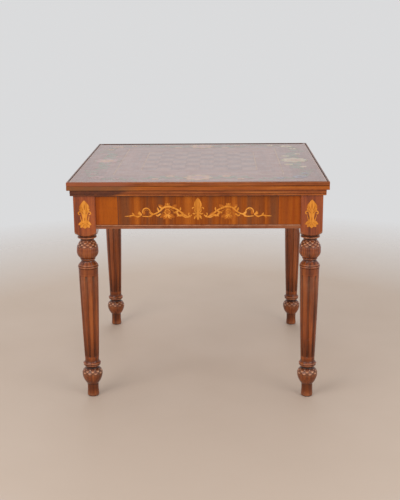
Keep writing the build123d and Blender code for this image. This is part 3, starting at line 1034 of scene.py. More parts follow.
@dataclass(frozen=True)
class CarvedLeaves:
    """Rows of overlapping carved leaves all round a leg, with their tips down."""

    foot: float
    top: float
    rows: int
    rows_tall: float
    count: int
    depth: float
    root_gap: float = 0.0004
    lip: float = 0.0020
    root_lip: float = 0.001
    point_share: float = 0.9
    point_power: float = 1.5
    fall_rows: float = 2.0
    crown_share: float = 0.55
    rib_share: float = 0.14
    rib_width: float = 0.12
    # shadow_reach and the two after it set the painted shade; the last three set a painted highlight on each
    # tip
    shadow_reach: float = 0.0034
    tucked: float = 0.55
    tucked_from: float = 0.8
    rubbed_rise: float = 0.0012
    rubbed_reach: float = 0.0026
    rubbed_width: float = 0.42

    def carve(self, angle: np.ndarray, z: np.ndarray,
              turned: float) -> tuple[np.ndarray, np.ndarray, np.ndarray]:
        """Works out the leaves' relief, and the painted shade and painted highlights on them.

        Args:
            angle: The turns in radians.
            z: The heights.
            turned: The turn of the first leaf in degrees.

        Returns:
            How far they stand out, how much painted shade and how much painted highlight each point gets.
        """
        relief, polish_and_shade, rubbed = (np.zeros_like(z) for _ in range(3))
        root = self.top - self.root_gap
        row_height = (root - self.foot) / self.rows
        step = (self.top - self.foot) / self.rows_tall
        pitch = 2 * math.pi / self.count
        for row in range(self.rows):
            aside = (((angle - math.radians(turned)) / pitch + 0.5 + 0.5 * (row % 2)) % 1.0 - 0.5) * 2
            tip = self.foot + step * row
            rise = z - tip - row_height * self.point_share * np.abs(aside) ** self.point_power
            inside = (rise > 0) & (z < root)
            lip = np.sqrt(np.clip(rise / self.lip, 0.0, 1.0)) * np.clip((root - z) / self.root_lip, 0.0, 1.0)
            fall = np.clip(1.0 - rise / (row_height * self.fall_rows), 0.0, 1.0)
            rib = self.rib_share * np.exp(-(aside / self.rib_width) ** 2)
            bent = 1.0 - self.crown_share * aside ** 2 - rib
            relief = np.where(inside, self.depth * lip * fall * bent, relief)
            # painted shade where a leaf runs under the row above, and painted shadow below each leaf's tip
            tucked = self.tucked * np.clip(rise / row_height - self.tucked_from, 0.0, 1.0)
            shadow = np.where(z < root, np.clip(1.0 + rise / self.shadow_reach, 0.0, 1.0), 0.0)
            polish_and_shade = np.where(inside, tucked, np.maximum(polish_and_shade, shadow))
            # a painted highlight spot on each leaf's tip
            worn = ((rise - self.rubbed_rise) / self.rubbed_reach) ** 2 + (aside / self.rubbed_width) ** 2
            rubbed = np.where(inside, np.exp(-worn), rubbed)
        return relief, polish_and_shade, rubbed


@dataclass(frozen=True)
class LegWearAndLight:
    """How dark old polish and painted shade make a leg's hollows, how bright rubbing and painted highlights
    make its high places, and their reach.
    """

    # painted shade with old polish in the flutes
    flutes: float = 0.38
    # painted shadow in the flutes below their round tops
    flute_end_shadow: float = 0.45
    flute_end_shadow_reach: float = 0.014
    # painted shade with old polish in the grooves and coves
    grooves: float = 0.8
    groove_depth: float = 0.0022
    cove_depth: float = 0.0030
    ring_rise: float = 0.0035
    # painted highlight with rubbing on the rings
    rings_rubbed: float = 0.3
    ring_window: int = 4
    turning_below_block: float = 0.014
    # painted shadow round the bottom of the foot, where it stands on the floor
    sole_shade: float = 0.8
    sole_shade_reach: float = 0.0045
    # painted shade over the ring, ball and foot below the shaft
    foot: float = 0.22
    foot_shade_fade: float = 0.025
    # painted highlight with rubbing on the block's arrises
    arris_rubbed: float = 0.35
    arris_reach: float = 0.0016
    arris_below_block: float = 0.012


@dataclass
class TurnedLegs:
    """The four legs: square block, carved bulb, collar, fluted shaft, ring, carved ball and foot."""

    finishes: Finishes
    sole_radius: float = 0.0178
    foot_height: float = 0.0475
    ball_height: float = 0.0805
    ball_leaf_foot: float = 0.0860
    ball_top: float = 0.1030
    shaft_foot: float = 0.1340
    shaft_top: float = 0.4662
    flute_foot: float = 0.1450
    flute_top: float = 0.4430
    flute_end_zone: float = 0.0045
    flute_end_rings: int = 13
    flute_width: float = 0.0088
    flute_depth: float = 0.0032
    flute_count: int = 8
    slope_foot: float = 0.4785
    slope_top: float = 0.4902
    ring_foot: float = 0.4965
    bulb_foot: float = 0.5015
    bulb_middle: float = 0.5320
    bulb_leaf_foot: float = 0.5430
    bulb_top: float = 0.5625
    block_foot: float = 0.6030
    arris: float = 0.0012
    leaf_count: int = 10
    leaf_depth: float = 0.0032
    leaf_sink_share: float = 0.45
    round_steps: int = 240
    corner_steps: tuple[float, ...] = (-1.3, -0.9, -0.45, 0.0, 0.45, 0.9, 1.3)
    wear_and_light: LegWearAndLight = LegWearAndLight()
    heights: np.ndarray = field(init=False)
    radii: np.ndarray = field(init=False)

    def __post_init__(self) -> None:
        """Reads the block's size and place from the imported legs, and samples the turning."""
        low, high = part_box("leg_front_left")
        self.block_half = (high.x - low.x) / 2
        self.centre = Vector(((low.x + high.x) / 2, (low.y + high.y) / 2, 0.0))
        self.top = high.z
        self.turns = dict(zip(CORNERS, (LegTurn(36.0, 9.0), LegTurn(36.0, 30.0), LegTurn(43.5, 0.0),
                                        LegTurn(7.5, 18.0))))
        self.leaves = (
            CarvedLeaves(self.bulb_leaf_foot, self.bulb_top, 4, 3.4, self.leaf_count, self.leaf_depth),
            CarvedLeaves(self.ball_leaf_foot, self.ball_top, 3, 2.3, self.leaf_count, self.leaf_depth),
        )
        self.reedings = (
            Reeding(self.bulb_foot + 0.0005, self.bulb_leaf_foot, 30, 0.0011),
            Reeding(self.foot_height, self.ball_leaf_foot, 2 * self.leaf_count, 0.0006),
            Reeding(self.slope_foot + 0.0006, self.slope_top, 12, self.wear_and_light.groove_depth),
            Reeding(self.ring_foot - 0.0012, self.bulb_foot, 24, 0.0010),
        )
        self.heights, self.radii = self.turning()

    def cuts(self) -> list[Cut]:
        """The turned outline, from the sole up.

        Returns:
            Its stretches in order.
        """
        return [
            Cut(0.0018, 0.0198, 0.18, 3),
            Cut(0.0080, 0.0204, 0.06, 2),
            Cut(0.0430, 0.0196, -0.02, 6),
            Cut(self.foot_height, 0.0208, -0.10, 3),
            Cut(self.ball_height, 0.0350, 0.075, 22),
            Cut(self.ball_top, 0.0258, 0.11, 14),
            Cut(0.1037, 0.0240, 0.0, 1),
            Cut(0.1090, 0.0222, -0.12, 4),
            Cut(0.1128, 0.0240, -0.1, 2),
            Cut(0.1136, 0.0276, 0.0, 1),
            Cut(0.1188, 0.0286, 0.22, 6),
            Cut(0.1194, 0.0272, 0.0, 1),
            Cut(0.1202, 0.0272, 0.0, 1),
            Cut(0.1208, 0.0298, 0.0, 1),
            Cut(0.1238, 0.0300, 0.22, 4),
            Cut(self.shaft_foot, 0.0242, -0.12, 7),
            Cut(self.shaft_top, 0.0333, 0.0025, 14),
            Cut(0.4668, 0.0320, 0.0, 1),
            Cut(0.4682, 0.0320, 0.0, 1),
            Cut(0.4688, 0.0338, 0.0, 1),
            Cut(0.4748, 0.0340, 0.20, 7),
            Cut(0.4753, 0.0316, 0.0, 1),
            Cut(0.4764, 0.0316, 0.0, 1),
            Cut(0.4769, 0.0334, 0.0, 1),
            Cut(self.slope_foot, 0.0332, 0.12, 2),
            Cut(self.slope_top, 0.0234, 0.0, 10),
            Cut(0.4950, 0.0223, -0.06, 4),
            Cut(0.4957, 0.0232, 0.0, 1),
            Cut(self.ring_foot, 0.0244, 0.0, 1),
            Cut(self.bulb_foot, 0.0248, 0.26, 6),
            Cut(self.bulb_middle, 0.0364, 0.15, 22),
            Cut(self.bulb_leaf_foot, 0.0350, 0.05, 8),
            Cut(self.bulb_top, 0.0238, 0.015, 22),
            Cut(0.5640, 0.0228, -0.1, 2),
            Cut(0.5672, 0.0230, 0.0, 2),
            Cut(0.5718, 0.0288, -0.20, 5),
            Cut(0.5725, 0.0314, 0.0, 1),
            Cut(0.5768, 0.0317, 0.22, 5),
            Cut(0.5775, 0.0303, 0.0, 1),
            Cut(0.5850, 0.0358, -0.14, 6),
            Cut(self.block_foot, 0.0545, 0.08, 22),
            Cut(0.6060, 0.0640, 0.0, 3),
            Cut(self.top, 0.0640, 0.0, 6),
        ]

    def turning(self) -> tuple[np.ndarray, np.ndarray]:
        """Samples the turned outline.

        Returns:
            The heights and the radii of its rings.
        """
        heights, radii = [0.0], [self.sole_radius]
        for cut in self.cuts():
            z, r = heights[-1], radii[-1]
            rise, reach = cut.height - z, cut.radius - r
            for number in range(1, cut.rings + 1):
                t = number / cut.rings
                bow = 4 * cut.bow_share * t * (1 - t)
                heights.append(z + rise * t - reach * bow)
                radii.append(r + reach * t + rise * bow)
        zone = np.linspace(-self.flute_end_zone, self.flute_end_zone, self.flute_end_rings)
        extra = [end + step for end in (self.flute_foot, self.flute_top) for step in zone]
        every = np.array(sorted(set(np.round(heights + extra, 6))))
        order = np.argsort(heights, kind="stable")
        return every, np.interp(every, np.array(heights)[order], np.array(radii)[order])

    def angles(self) -> np.ndarray:
        """The turns at which the outline has points, closer together at the block's corners.

        Returns:
            The turns in radians.
        """
        even = np.arange(self.round_steps) * 360 / self.round_steps
        near = [45 + 90 * corner + step for corner in range(4) for step in self.corner_steps]
        return np.radians(sorted(set(np.round(np.concatenate((even, near)), 4))))

    def square_radius(self, angle: np.ndarray) -> np.ndarray:
        """How far the block's rounded square reaches at each turn.

        Args:
            angle: The turns in radians.

        Returns:
            The reach at each turn.
        """
        folded = np.abs((angle + math.pi / 4) % (math.pi / 2) - math.pi / 4)
        flat = self.block_half / np.cos(folded)
        inner = self.block_half - self.arris
        lean = np.cos(folded) + np.sin(folded)
        inside = np.maximum(self.arris ** 2 - inner ** 2 * (2 - lean ** 2), 0.0)
        return np.where(self.block_half * np.tan(folded) > inner, inner * lean + np.sqrt(inside), flat)

    def flutes(self, angle: np.ndarray, z: np.ndarray, radius: np.ndarray, turned: float) -> np.ndarray:
        """How deep the flutes are cut, with round ends.

        Args:
            angle: The turns in radians.
            z: The heights.
            radius: The radius of the shaft at each point.
            turned: The turn of the first flute in degrees.

        Returns:
            The depth at each point.
        """
        turn = 2 * math.pi / self.flute_count
        aside = np.abs((angle - math.radians(turned) + turn / 2) % turn - turn / 2) * radius
        half = self.flute_width / 2
        beyond = np.maximum(np.maximum(self.flute_foot + half - z, z - self.flute_top + half), 0.0)
        off = np.hypot(aside, beyond) / half
        return self.flute_depth * np.sqrt(np.clip(1.0 - off ** 2, 0.0, 1.0))

    def coves_and_rings(self) -> tuple[np.ndarray, np.ndarray]:
        """Finds the coves and the rings of the turning, below the block.

        Returns:
            How far each height lies in a cove, and how far out on a ring, from 0 to 1.
        """
        near = self.wear_and_light.ring_window
        smooth = (np.roll(self.radii, near) + np.roll(self.radii, -near)) / 2
        smooth[:near], smooth[-near:] = self.radii[:near], self.radii[-near:]
        below = self.heights < self.block_foot - self.wear_and_light.turning_below_block
        cove = np.clip((smooth - self.radii) / self.wear_and_light.cove_depth, 0.0, 1.0) * below
        ring = np.clip((self.radii - smooth) / self.wear_and_light.ring_rise, 0.0, 1.0) * below
        return cove[:, None], ring[:, None]

    def leg_surface(self, turn: LegTurn) -> tuple[np.ndarray, np.ndarray, np.ndarray]:
        """Works out the whole surface of one leg about its own axis.

        Args:
            turn: How its flutes and leaves are turned.

        Returns:
            The points, how much old polish and painted shade darken each, and how much rubbing and painted
            highlight lighten each.
        """
        wear_and_light = self.wear_and_light
        angle, z = np.meshgrid(self.angles(), self.heights)
        round_radius = np.repeat(self.radii[:, None], angle.shape[1], axis=1)
        flutes = self.flutes(angle, z, round_radius, turn.flutes)
        out, polish_and_shade, rubbed = sum(np.array(leaves.carve(angle, z, turn.leaves)) for leaves in self.leaves)
        cut = sum(reeding.carve(angle, z) for reeding in self.reedings)
        sunk = np.where(out > 0, self.leaf_depth * self.leaf_sink_share, 0.0)
        turned = round_radius - flutes - cut + out - sunk
        square = np.repeat(self.square_radius(angle[:1]), angle.shape[0], axis=0)
        blend = np.clip(0.5 + (square - turned) / (2 * self.arris), 0.0, 1.0)
        radius = square * (1 - blend) + turned * blend - self.arris * blend * (1 - blend)
        points = np.stack((radius * np.cos(angle), radius * np.sin(angle), z), axis=-1)
        cove, ring = self.coves_and_rings()
        # painted shadow in the flutes below their round tops
        flute_top_shadow = np.exp(-((z - self.flute_top) / wear_and_light.flute_end_shadow_reach) ** 2)
        # painted shade with old polish in the flutes, coves and grooves, painted shadow at the bottom of the
        # foot, and painted shade over the turning below the shaft
        polish_and_shade += flutes / self.flute_depth * (wear_and_light.flutes + wear_and_light.flute_end_shadow * flute_top_shadow)
        polish_and_shade += cove + wear_and_light.grooves * cut / wear_and_light.groove_depth
        polish_and_shade += wear_and_light.sole_shade * np.clip(1.0 - z / wear_and_light.sole_shade_reach, 0.0, 1.0)
        polish_and_shade += wear_and_light.foot * np.clip((self.shaft_foot - z) / wear_and_light.foot_shade_fade, 0.0, 1.0)
        # painted highlights with rubbing on the block's arrises and on the rings
        arris = wear_and_light.arris_rubbed * np.exp(-((square - turned) / wear_and_light.arris_reach) ** 2)
        rubbed += wear_and_light.rings_rubbed * ring
        rubbed += np.where(z > self.block_foot - wear_and_light.arris_below_block, arris, 0.0)
        return points, np.clip(polish_and_shade, 0.0, 1.0), np.clip(rubbed, 0.0, 1.0)

    def build(self) -> None:
        """Makes the four legs."""
        rings, count = len(self.heights), len(self.angles())
        faces = []
        for ring in range(rings - 1):
            for number in range(count):
                after = (number + 1) % count
                a, b = ring * count, (ring + 1) * count
                faces.append((a + number, a + after, b + after, b + number))
        faces.append(tuple(range(count - 1, -1, -1)))
        faces.append(tuple(range((rings - 1) * count, rings * count)))
        for turns, corner in enumerate(CORNERS):
            grid, polish_and_shade, rubbed = self.leg_surface(self.turns[corner])
            centre = quarter_turned(np.array([self.centre]), turns)
            sketch = Sketch()
            sketch.add(grid.reshape(-1, 3) + centre, faces, polish_and_shade.ravel(), rubbed.ravel())
            sketch.piece(f"turned_leg_{corner}", self.finishes["leg"], "base", "leg_wood",
                         (f"leg_{corner}",), crease=50.0)


@dataclass(frozen=True)
class Moulding:
    """A profile run along each side of a square, mitred or cut straight at its ends.

    Each of the profile's points has its reach from the middle of the table, its height, and how it is
    darkened or lightened, from -1 where old polish and painted shade darken it to 1 where rubbing and painted
    highlights lighten it.
    """

    profile: tuple[tuple[float, float, float], ...]
    half_length: float | None = None

    def run(self, turns: int) -> Sketch:
        """Makes the moulding on one side.

        Args:
            turns: The side's number of quarter turns from the front.

        Returns:
            The sketch of the piece.
        """
        reach, height, wear_and_light = (np.array(column) for column in zip(*self.profile))
        end = reach if self.half_length is None else np.full(len(reach), self.half_length)
        ends = np.vstack([np.column_stack((way * end, -reach, height)) for way in (-1, 1)])
        count = len(reach)
        faces = [(i, (i + 1) % count, count + (i + 1) % count, count + i) for i in range(count)]
        faces += [tuple(range(count - 1, -1, -1)), tuple(range(count, 2 * count))]
        area = float(np.sum(reach * np.roll(height, -1) - np.roll(reach, -1) * height))
        if area < 0:
            faces = [face[::-1] for face in faces]
        wear_and_light = np.concatenate((wear_and_light, wear_and_light))
        sketch = Sketch()
        sketch.add(quarter_turned(ends, turns), faces, np.maximum(-wear_and_light, 0), np.maximum(wear_and_light, 0))
        return sketch

    def lay(self, name: str, node: str, finish: bpy.types.Material, body: str, slot: str,
            sides: tuple[str, ...] = SIDES) -> None:
        """Lays the moulding on the given sides, one piece for each.

        Args:
            name: The pieces' name, before the side's.
            node: The name of the nodes that they stand for, before the side's.
            finish: Their material.
            body: The body that they ride on.
            slot: Passed on to the pieces, which do not use it.
            sides: The sides.
        """
        for turns, side in enumerate(SIDES):
            if side in sides:
                self.run(turns).piece(f"{name}_{side}", finish, body, slot, (f"{node}_{side}",))


def rounded(corner: Point, radius: float, start: float, turn: float, wear_and_light: float,
            steps: int) -> list[tuple[float, float, float]]:
    """The rounded corner of a profile.

    Args:
        corner: The middle of the rounding, as reach and height.
        radius: Its radius.
        start: Where it starts, in degrees.
        turn: How far it goes round, in degrees.
        wear_and_light: The darkening or lightening of its middle by old polish, rubbing and painted light.
        steps: How many short runs it has.

    Returns:
        The profile's points there.
    """
    line = arc(corner, radius, start, turn, steps=steps)
    return [(u, v, wear_and_light * math.sin(math.pi * number / steps)) for number, (u, v) in enumerate(line)]


class Scrollwork:
    """One pattern of the case in three tones, mirrored about its middle.

    A place in it is the distance from its middle and the height over the foot of the panels.
    """

    LAYER_LIFT = 0.00018
    TONES = (("ground", "scorched"), ("inlay", "honey"), ("shading", "shaded_honey"))
    FLOWER: Point = (0.1010, 0.0435)
    FLOWER_FOOT: Point = (0.1010, 0.0360)
    FLOWER_PETALS = 7
    CURL: Point = (0.1715, 0.0440)

    def __init__(self, finishes: Finishes, ground: Ground) -> None:
        """Starts with no slips: broad darker ones below, pale ones, and ones that are scorched darker.

        Args:
            finishes: The table's finishes.
            ground: The face that it is let into.
        """
        self.finishes = finishes
        self.layers = [Marquetry(ground, True, level * self.LAYER_LIFT) for level in range(len(self.TONES))]
        self.under, self.work, self.shaded = self.layers

    def scroll(self) -> None:
        """Lays the pattern of one apron, from its middle outwards."""
        self.scroll_shade()
        self.scroll_middle()
        self.scroll_stem()
        self.scroll_flower()
        self.scroll_end()

    def scroll_shade(self) -> None:
        """Lays the broad darker leaves below the scroll."""
        self.under.leaves(
            (self.FLOWER_FOOT, -158, 0.0280, 0.0130), (self.FLOWER_FOOT, -128, 0.0220, 0.0110),
            (self.FLOWER_FOOT, -90, 0.0180, 0.0130), (self.FLOWER_FOOT, -52, 0.0220, 0.0110),
            (self.FLOWER_FOOT, -22, 0.0280, 0.0130), ((0.1010, 0.0500), 90, 0.0240, 0.0260),
            ((0.1120, 0.0540), 38, 0.0240, 0.0140), ((0.0880, 0.0540), 142, 0.0240, 0.0140),
            ((0.0350, 0.0300), 30, 0.0300, 0.0110), ((0.1780, 0.0340), 78, 0.0170, 0.0120),
        )

    def scroll_middle(self) -> None:
        """Lays the palmette in the middle, with its curls."""
        work, shaded = self.work, self.shaded
        work.leaf((0.0, 0.0420), 90, 0.0500, 0.0300)
        shaded.leaf((0.0035, 0.0480), 84, 0.0300, 0.0050, 0.002)
        shaded.leaf((0.0085, 0.0480), 78, 0.0180, 0.0036, 0.001)
        work.stroke(flowing((0.0, 0.0290), (0.0, 0.0380), (0.0, 0.0520)), 0.0105, 0.8, 0.9)
        work.leaf((0.0, 0.0320), -90, 0.0165, 0.0100)
        work.leaf((0.0030, 0.0340), -48, 0.0180, 0.0078, -0.003)
        work.leaf((0.0050, 0.0380), -8, 0.0130, 0.0064, 0.003)
        work.stroke(arc((0.0158, 0.0545), 0.0052, 205, -240, 0.45), 0.0034, 0.8, 0.6)
        work.stroke(flowing((0.0050, 0.0390), (0.0095, 0.0460), (0.0116, 0.0525)), 0.0038)
        work.stroke(arc((0.0250, 0.0350), 0.0064, 60, -235, 0.6), 0.0034, 0.9, 1.0)

    def scroll_stem(self) -> None:
        """Lays the long stem that rises over the flower, with its leaves."""
        stem = flowing((0.0240, 0.0280), (0.0335, 0.0280), (0.0456, 0.0340), (0.0626, 0.0480),
                       (0.0853, 0.0595), (0.1000, 0.0620), (0.1140, 0.0580), (0.1250, 0.0480),
                       (0.1390, 0.0390), (0.1500, 0.0360))
        self.work.stroke(stem, 0.0055, 0.6, 0.7)
        branch = flowing((0.0300, 0.0255), (0.0420, 0.0260), (0.0550, 0.0320), (0.0700, 0.0290))
        self.work.stroke(branch, 0.0042)
        self.work.leaves(
            ((0.0470, 0.0340), -12, 0.0220, 0.0085, 0.002), ((0.0590, 0.0480), 105, 0.0125, 0.0058, -0.002),
            ((0.0640, 0.0460), -24, 0.0180, 0.0080, 0.002), ((0.1290, 0.0460), 62, 0.0150, 0.0066, 0.002),
            ((0.1180, 0.0540), 40, 0.0150, 0.0062, 0.001), ((0.1005, 0.0630), 90, 0.0100, 0.0090),
            ((0.0720, 0.0400), 215, 0.0120, 0.0066), ((0.1220, 0.0380), -30, 0.0130, 0.0070),
            ((0.1480, 0.0360), 25, 0.0160, 0.0085, 0.002), ((0.1480, 0.0360), -28, 0.0150, 0.0064),
            ((0.1400, 0.0340), 205, 0.0120, 0.0060),
        )
        self.shaded.leaves(*(((0.1005, 0.0640), heading, 0.0130, 0.0052) for heading in (130, 50)))

    def scroll_flower(self) -> None:
        """Lays the flower that hangs below the stem, with its leaves and tendrils."""
        for turn in (90, 270):
            self.under.petals(self.FLOWER, 0.0125, self.FLOWER_PETALS, 0.0022, 0.0074, turn)
        self.work.stroke(arc(self.FLOWER, 0.0088, 160, -320, 0.9, 22), 0.0022, 0.7, 0.7)
        self.shaded.disc(self.FLOWER, 0.0030)
        self.work.leaves(*(((0.1010, 0.0350), heading, 0.0150, 0.0050) for heading in (-150, -118, -62, -30)))
        for tendril in (
            flowing((0.1010, 0.0540), (0.1060, 0.0480), (0.1180, 0.0380), (0.1200, 0.0300)),
            flowing((0.0960, 0.0560), (0.0830, 0.0480), (0.0730, 0.0400), (0.0700, 0.0330)),
        ):
            self.shaded.stroke(tendril, 0.0028)

    def scroll_end(self) -> None:
        """Lays the outer curl, and the tail that runs out from it."""
        work, shaded = self.work, self.shaded
        work.stroke(arc(self.CURL, 0.0140, 200, -215, 0.82, 18), 0.0040, 0.6, 0.8)
        shaded.stroke(arc(self.CURL, 0.0080, 150, -190, 0.6, 12), 0.0026)
        work.stroke(flowing((0.1520, 0.0290), (0.1680, 0.0285), (0.1850, 0.0300)), 0.0036)
        work.leaves(
            ((0.1850, 0.0350), 20, 0.0150, 0.0080, -0.001), ((0.1870, 0.0310), 60, 0.0150, 0.0070, 0.002),
            ((0.1960, 0.0340), 98, 0.0130, 0.0056), ((0.2100, 0.0310), 50, 0.0130, 0.0060, 0.001),
            ((0.1930, 0.0300), -24, 0.0110, 0.0056),
        )
        tail = flowing((0.1900, 0.0310), (0.2020, 0.0290), (0.2150, 0.0320), (0.2290, 0.0300),
                       (0.2430, 0.0295))
        work.stroke(tail, 0.0038, 0.8, 0.3)
        shaded.leaf((0.2180, 0.0310), -40, 0.0110, 0.0050, 0.001)

    def palmette(self) -> None:
        """Lays the pattern of one leg block: a full bud over two curls, on a spreading foot."""
        self.under.leaves(
            ((0.0, 0.0400), 90, 0.0420, 0.0400), ((0.0, 0.0260), -90, 0.0380, 0.0300),
            ((0.0020, 0.0080), -14, 0.0220, 0.0140),
        )
        work, shaded = self.work, self.shaded
        work.leaf((0.0, 0.0380), 90, 0.0470, 0.0320)
        work.leaf((0.0020, 0.0500), 56, 0.0230, 0.0130, 0.002)
        work.leaf((0.0020, 0.0480), 20, 0.0170, 0.0110, 0.001)
        work.stroke(flowing((0.0, 0.0020), (0.0, 0.0180), (0.0, 0.0420)), 0.0150, 0.95, 0.7)
        work.stroke(flowing((0.0040, 0.0180), (0.0068, 0.0320), (0.0098, 0.0435)), 0.0044, 0.9, 0.9)
        work.stroke(arc((0.0156, 0.0402), 0.0066, 150, -265, 0.5, 16), 0.0040, 1.0, 0.6)
        work.stroke(flowing((0.0150, 0.0320), (0.0128, 0.0220), (0.0100, 0.0110)), 0.0026, 0.4, 0.9)
        work.leaf((0.0, 0.0120), -18, 0.0235, 0.0140, -0.004)
        work.leaf((0.0, 0.0090), -48, 0.0230, 0.0140)
        work.leaf((0.0, 0.0070), -90, 0.0185, 0.0180)
        shaded.leaf((0.0, 0.0510), 90, 0.0220, 0.0044)
        shaded.leaf((0.0040, 0.0470), 70, 0.0190, 0.0034)
        shaded.stroke(flowing((0.0036, 0.0380), (0.0080, 0.0472), (0.0160, 0.0492)), 0.0024, 0.5, 0.5)
        shaded.leaf((0.0, 0.0260), -90, 0.0120, 0.0042)
        shaded.leaf((0.0030, 0.0080), -26, 0.0160, 0.0032)
        shaded.leaf((0.0015, 0.0050), -64, 0.0130, 0.0030)

    def pieces(self, kind: str, place: str, slot: str) -> None:
        """Makes one piece of each tone.

        Args:
            kind: The pattern's name.
            place: The name of its place.
            slot: Passed on to the pieces, which do not use it.
        """
        for layer, (tone, finish) in zip(self.layers, self.TONES):
            layer.sketch.piece(f"{kind}_{tone}_{place}", self.finishes[finish], "base", slot)


@dataclass
class Case:
    """The case: cornice, veneered panels with scroll marquetry, base moulding, well and pivot rail."""

    finishes: Finishes
    cornice_round: float = 0.0036
    cornice_arris: float = 0.0008
    quirk_low: float = 0.0065
    quirk_high: float = 0.0079
    quirk_depth: float = 0.0012
    edge_break: float = 0.0004
    bead_step: float = 0.0040
    bead_hollow: float = 0.0010
    bead_arris: float = 0.0012
    bead_share: float = 0.96
    # the depth of the painted shadow along the top of each panel, under the cornice
    cornice_shadow_line: float = 0.0034
    lower_line: float = 0.0008
    joint_half: float = 0.0006

    def __post_init__(self) -> None:
        """Reads the corners of the front panel and of one leg from the frame."""
        self.panel_low, self.panel_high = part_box("veneer_front")
        self.leg_low, self.leg_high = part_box("leg_front_left")

    def cornice(self) -> None:
        """Runs the cornice round the top of the case."""
        low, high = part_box("cornice_front")
        outer, inner, foot, top = -low.y, -high.y, low.z, high.z
        r, a, small = self.cornice_round, self.cornice_arris, self.edge_break
        quirk, quirk_foot, quirk_top = outer - self.quirk_depth, foot + self.quirk_low, foot + self.quirk_high
        # the last value of each point is painted shade with old polish in the quirk and under the cornice,
        # and a painted highlight with rubbing along its rounded lower edge
        profile = [(inner, foot, -0.5), (outer - r - small, foot, -0.7)]
        profile += rounded((outer - r, foot + r), r, -90, 90, 1.0, 7)
        profile += [(outer, quirk_foot - small, 0.3), (outer - small, quirk_foot, 0.2)]
        profile += [(quirk, quirk_foot, -1.0), (quirk, quirk_top, -1.0)]
        profile += [(outer - small, quirk_top, 0.2), (outer, quirk_top + small, 0.3)]
        profile += rounded((outer - a, top - a), a, 0, 90, -0.8, 4)
        profile += [(inner, top, -0.4)]
        finish = self.finishes["moulding"]
        Moulding(tuple(profile)).lay("cornice_moulding", "cornice", finish, "base", "moulding_wood")

    def base_moulding(self) -> None:
        """Runs the bead along the foot of each apron."""
        low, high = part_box("bead_front")
        outer, inner, foot, top = -low.y, -high.y, low.z, high.z
        step = top - self.bead_step
        bead, a = self.bead_step / 2, self.bead_arris
        # the last value of each point is painted shade with old polish in the hollow over the bead, and
        # painted highlights with rubbing on its rounded edges
        profile = [(inner, foot, 0.0)]
        profile += rounded((outer - a, foot + a), a, -90, 90, 0.9, 4)
        profile += [(outer, step - a, 0.2), (outer - self.bead_hollow, step, -1.0)]
        profile += rounded((outer - bead, step + bead), bead * self.bead_share, -70, 160, 1.0, 8)
        profile += [(inner, top, 0.0)]
        finish = self.finishes["bead"]
        Moulding(tuple(profile), high.x).lay("base_moulding", "bead", finish, "base", "moulding_wood")

    def ground(self, turns: int, face: float, aside: float = 0.0) -> Ground:
        """The upright face on one side, seen from outside, with its origin at the foot of the panels.

        Args:
            turns: The side's number of quarter turns from the front.
            face: Where the front face lies along the Y axis.
            aside: How far to the right of the middle the origin is.

        Returns:
            The face.
        """
        points = np.array([[aside, face, self.panel_low.z], [1.0, 0.0, 0.0]])
        origin, across = quarter_turned(points, turns).tolist()
        return Ground(tuple(origin), tuple(across), (0.0, 0.0, 1.0))

    def dark_lines_and_cornice_shadow(self) -> None:
        """Lets a dark line in round each figured panel, where it meets the mouldings and the end strips; the
        wide one along its top is painted shadow under the cornice.
        """
        top = self.panel_high.z - self.panel_low.z
        lower, upper = self.lower_line, top - self.cornice_shadow_line
        end, thin = -self.leg_high.x, self.joint_half
        spans = [(-end, end, 0.0, lower), (-end, end, upper, top)]
        joints = (-self.panel_high.x, self.panel_high.x)
        spans += [(joint - thin, joint + thin, lower, upper) for joint in joints]
        for turns, side in enumerate(SIDES):
            lines = Marquetry(self.ground(turns, self.panel_low.y))
            for left, right, foot, head in spans:
                lines.slip([(left, foot), (right, foot), (right, head), (left, head)])
            lines.sketch.piece(f"panel_lines_{side}", self.finishes["dark_line"], "base", "panel_veneer")

    def marquetry(self) -> None:
        """Lays the scrolls on the aprons and the palmettes on the outward faces of the blocks."""
        block = (self.leg_low.x + self.leg_high.x) / 2
        for turns, side in enumerate(SIDES):
            scrolls = Scrollwork(self.finishes, self.ground(turns, self.panel_low.y))
            scrolls.scroll()
            scrolls.pieces("scroll", side, "panel_veneer")
            for end, aside in (("left", block), ("right", -block)):
                palmette = Scrollwork(self.finishes, self.ground(turns, self.leg_low.y, aside))
                palmette.palmette()
                palmette.pieces("palmette", f"{side}_{end}", "leg_wood")

    def build(self) -> None:
        """Builds the case's own pieces and finishes those that are carried over."""
        self.cornice()
        self.base_moulding()
        self.dark_lines_and_cornice_shadow()
        self.marquetry()
        aprons, veneers = ([f"{node}_{side}" for side in SIDES] for node in ("apron", "veneer"))
        self.finishes.dress("case", *aprons, "pivot_rail", "well_partition", "floor_cleats")
        self.finishes.dress("panel", *veneers)
        self.finishes.dress("strip", "end_strips")
        self.finishes.dress("floor", "well_floor")
        self.finishes.dress("iron", "pivot_washer", "pivot_nut", "pivot_plate", "pivot_stud", "stop_pin")


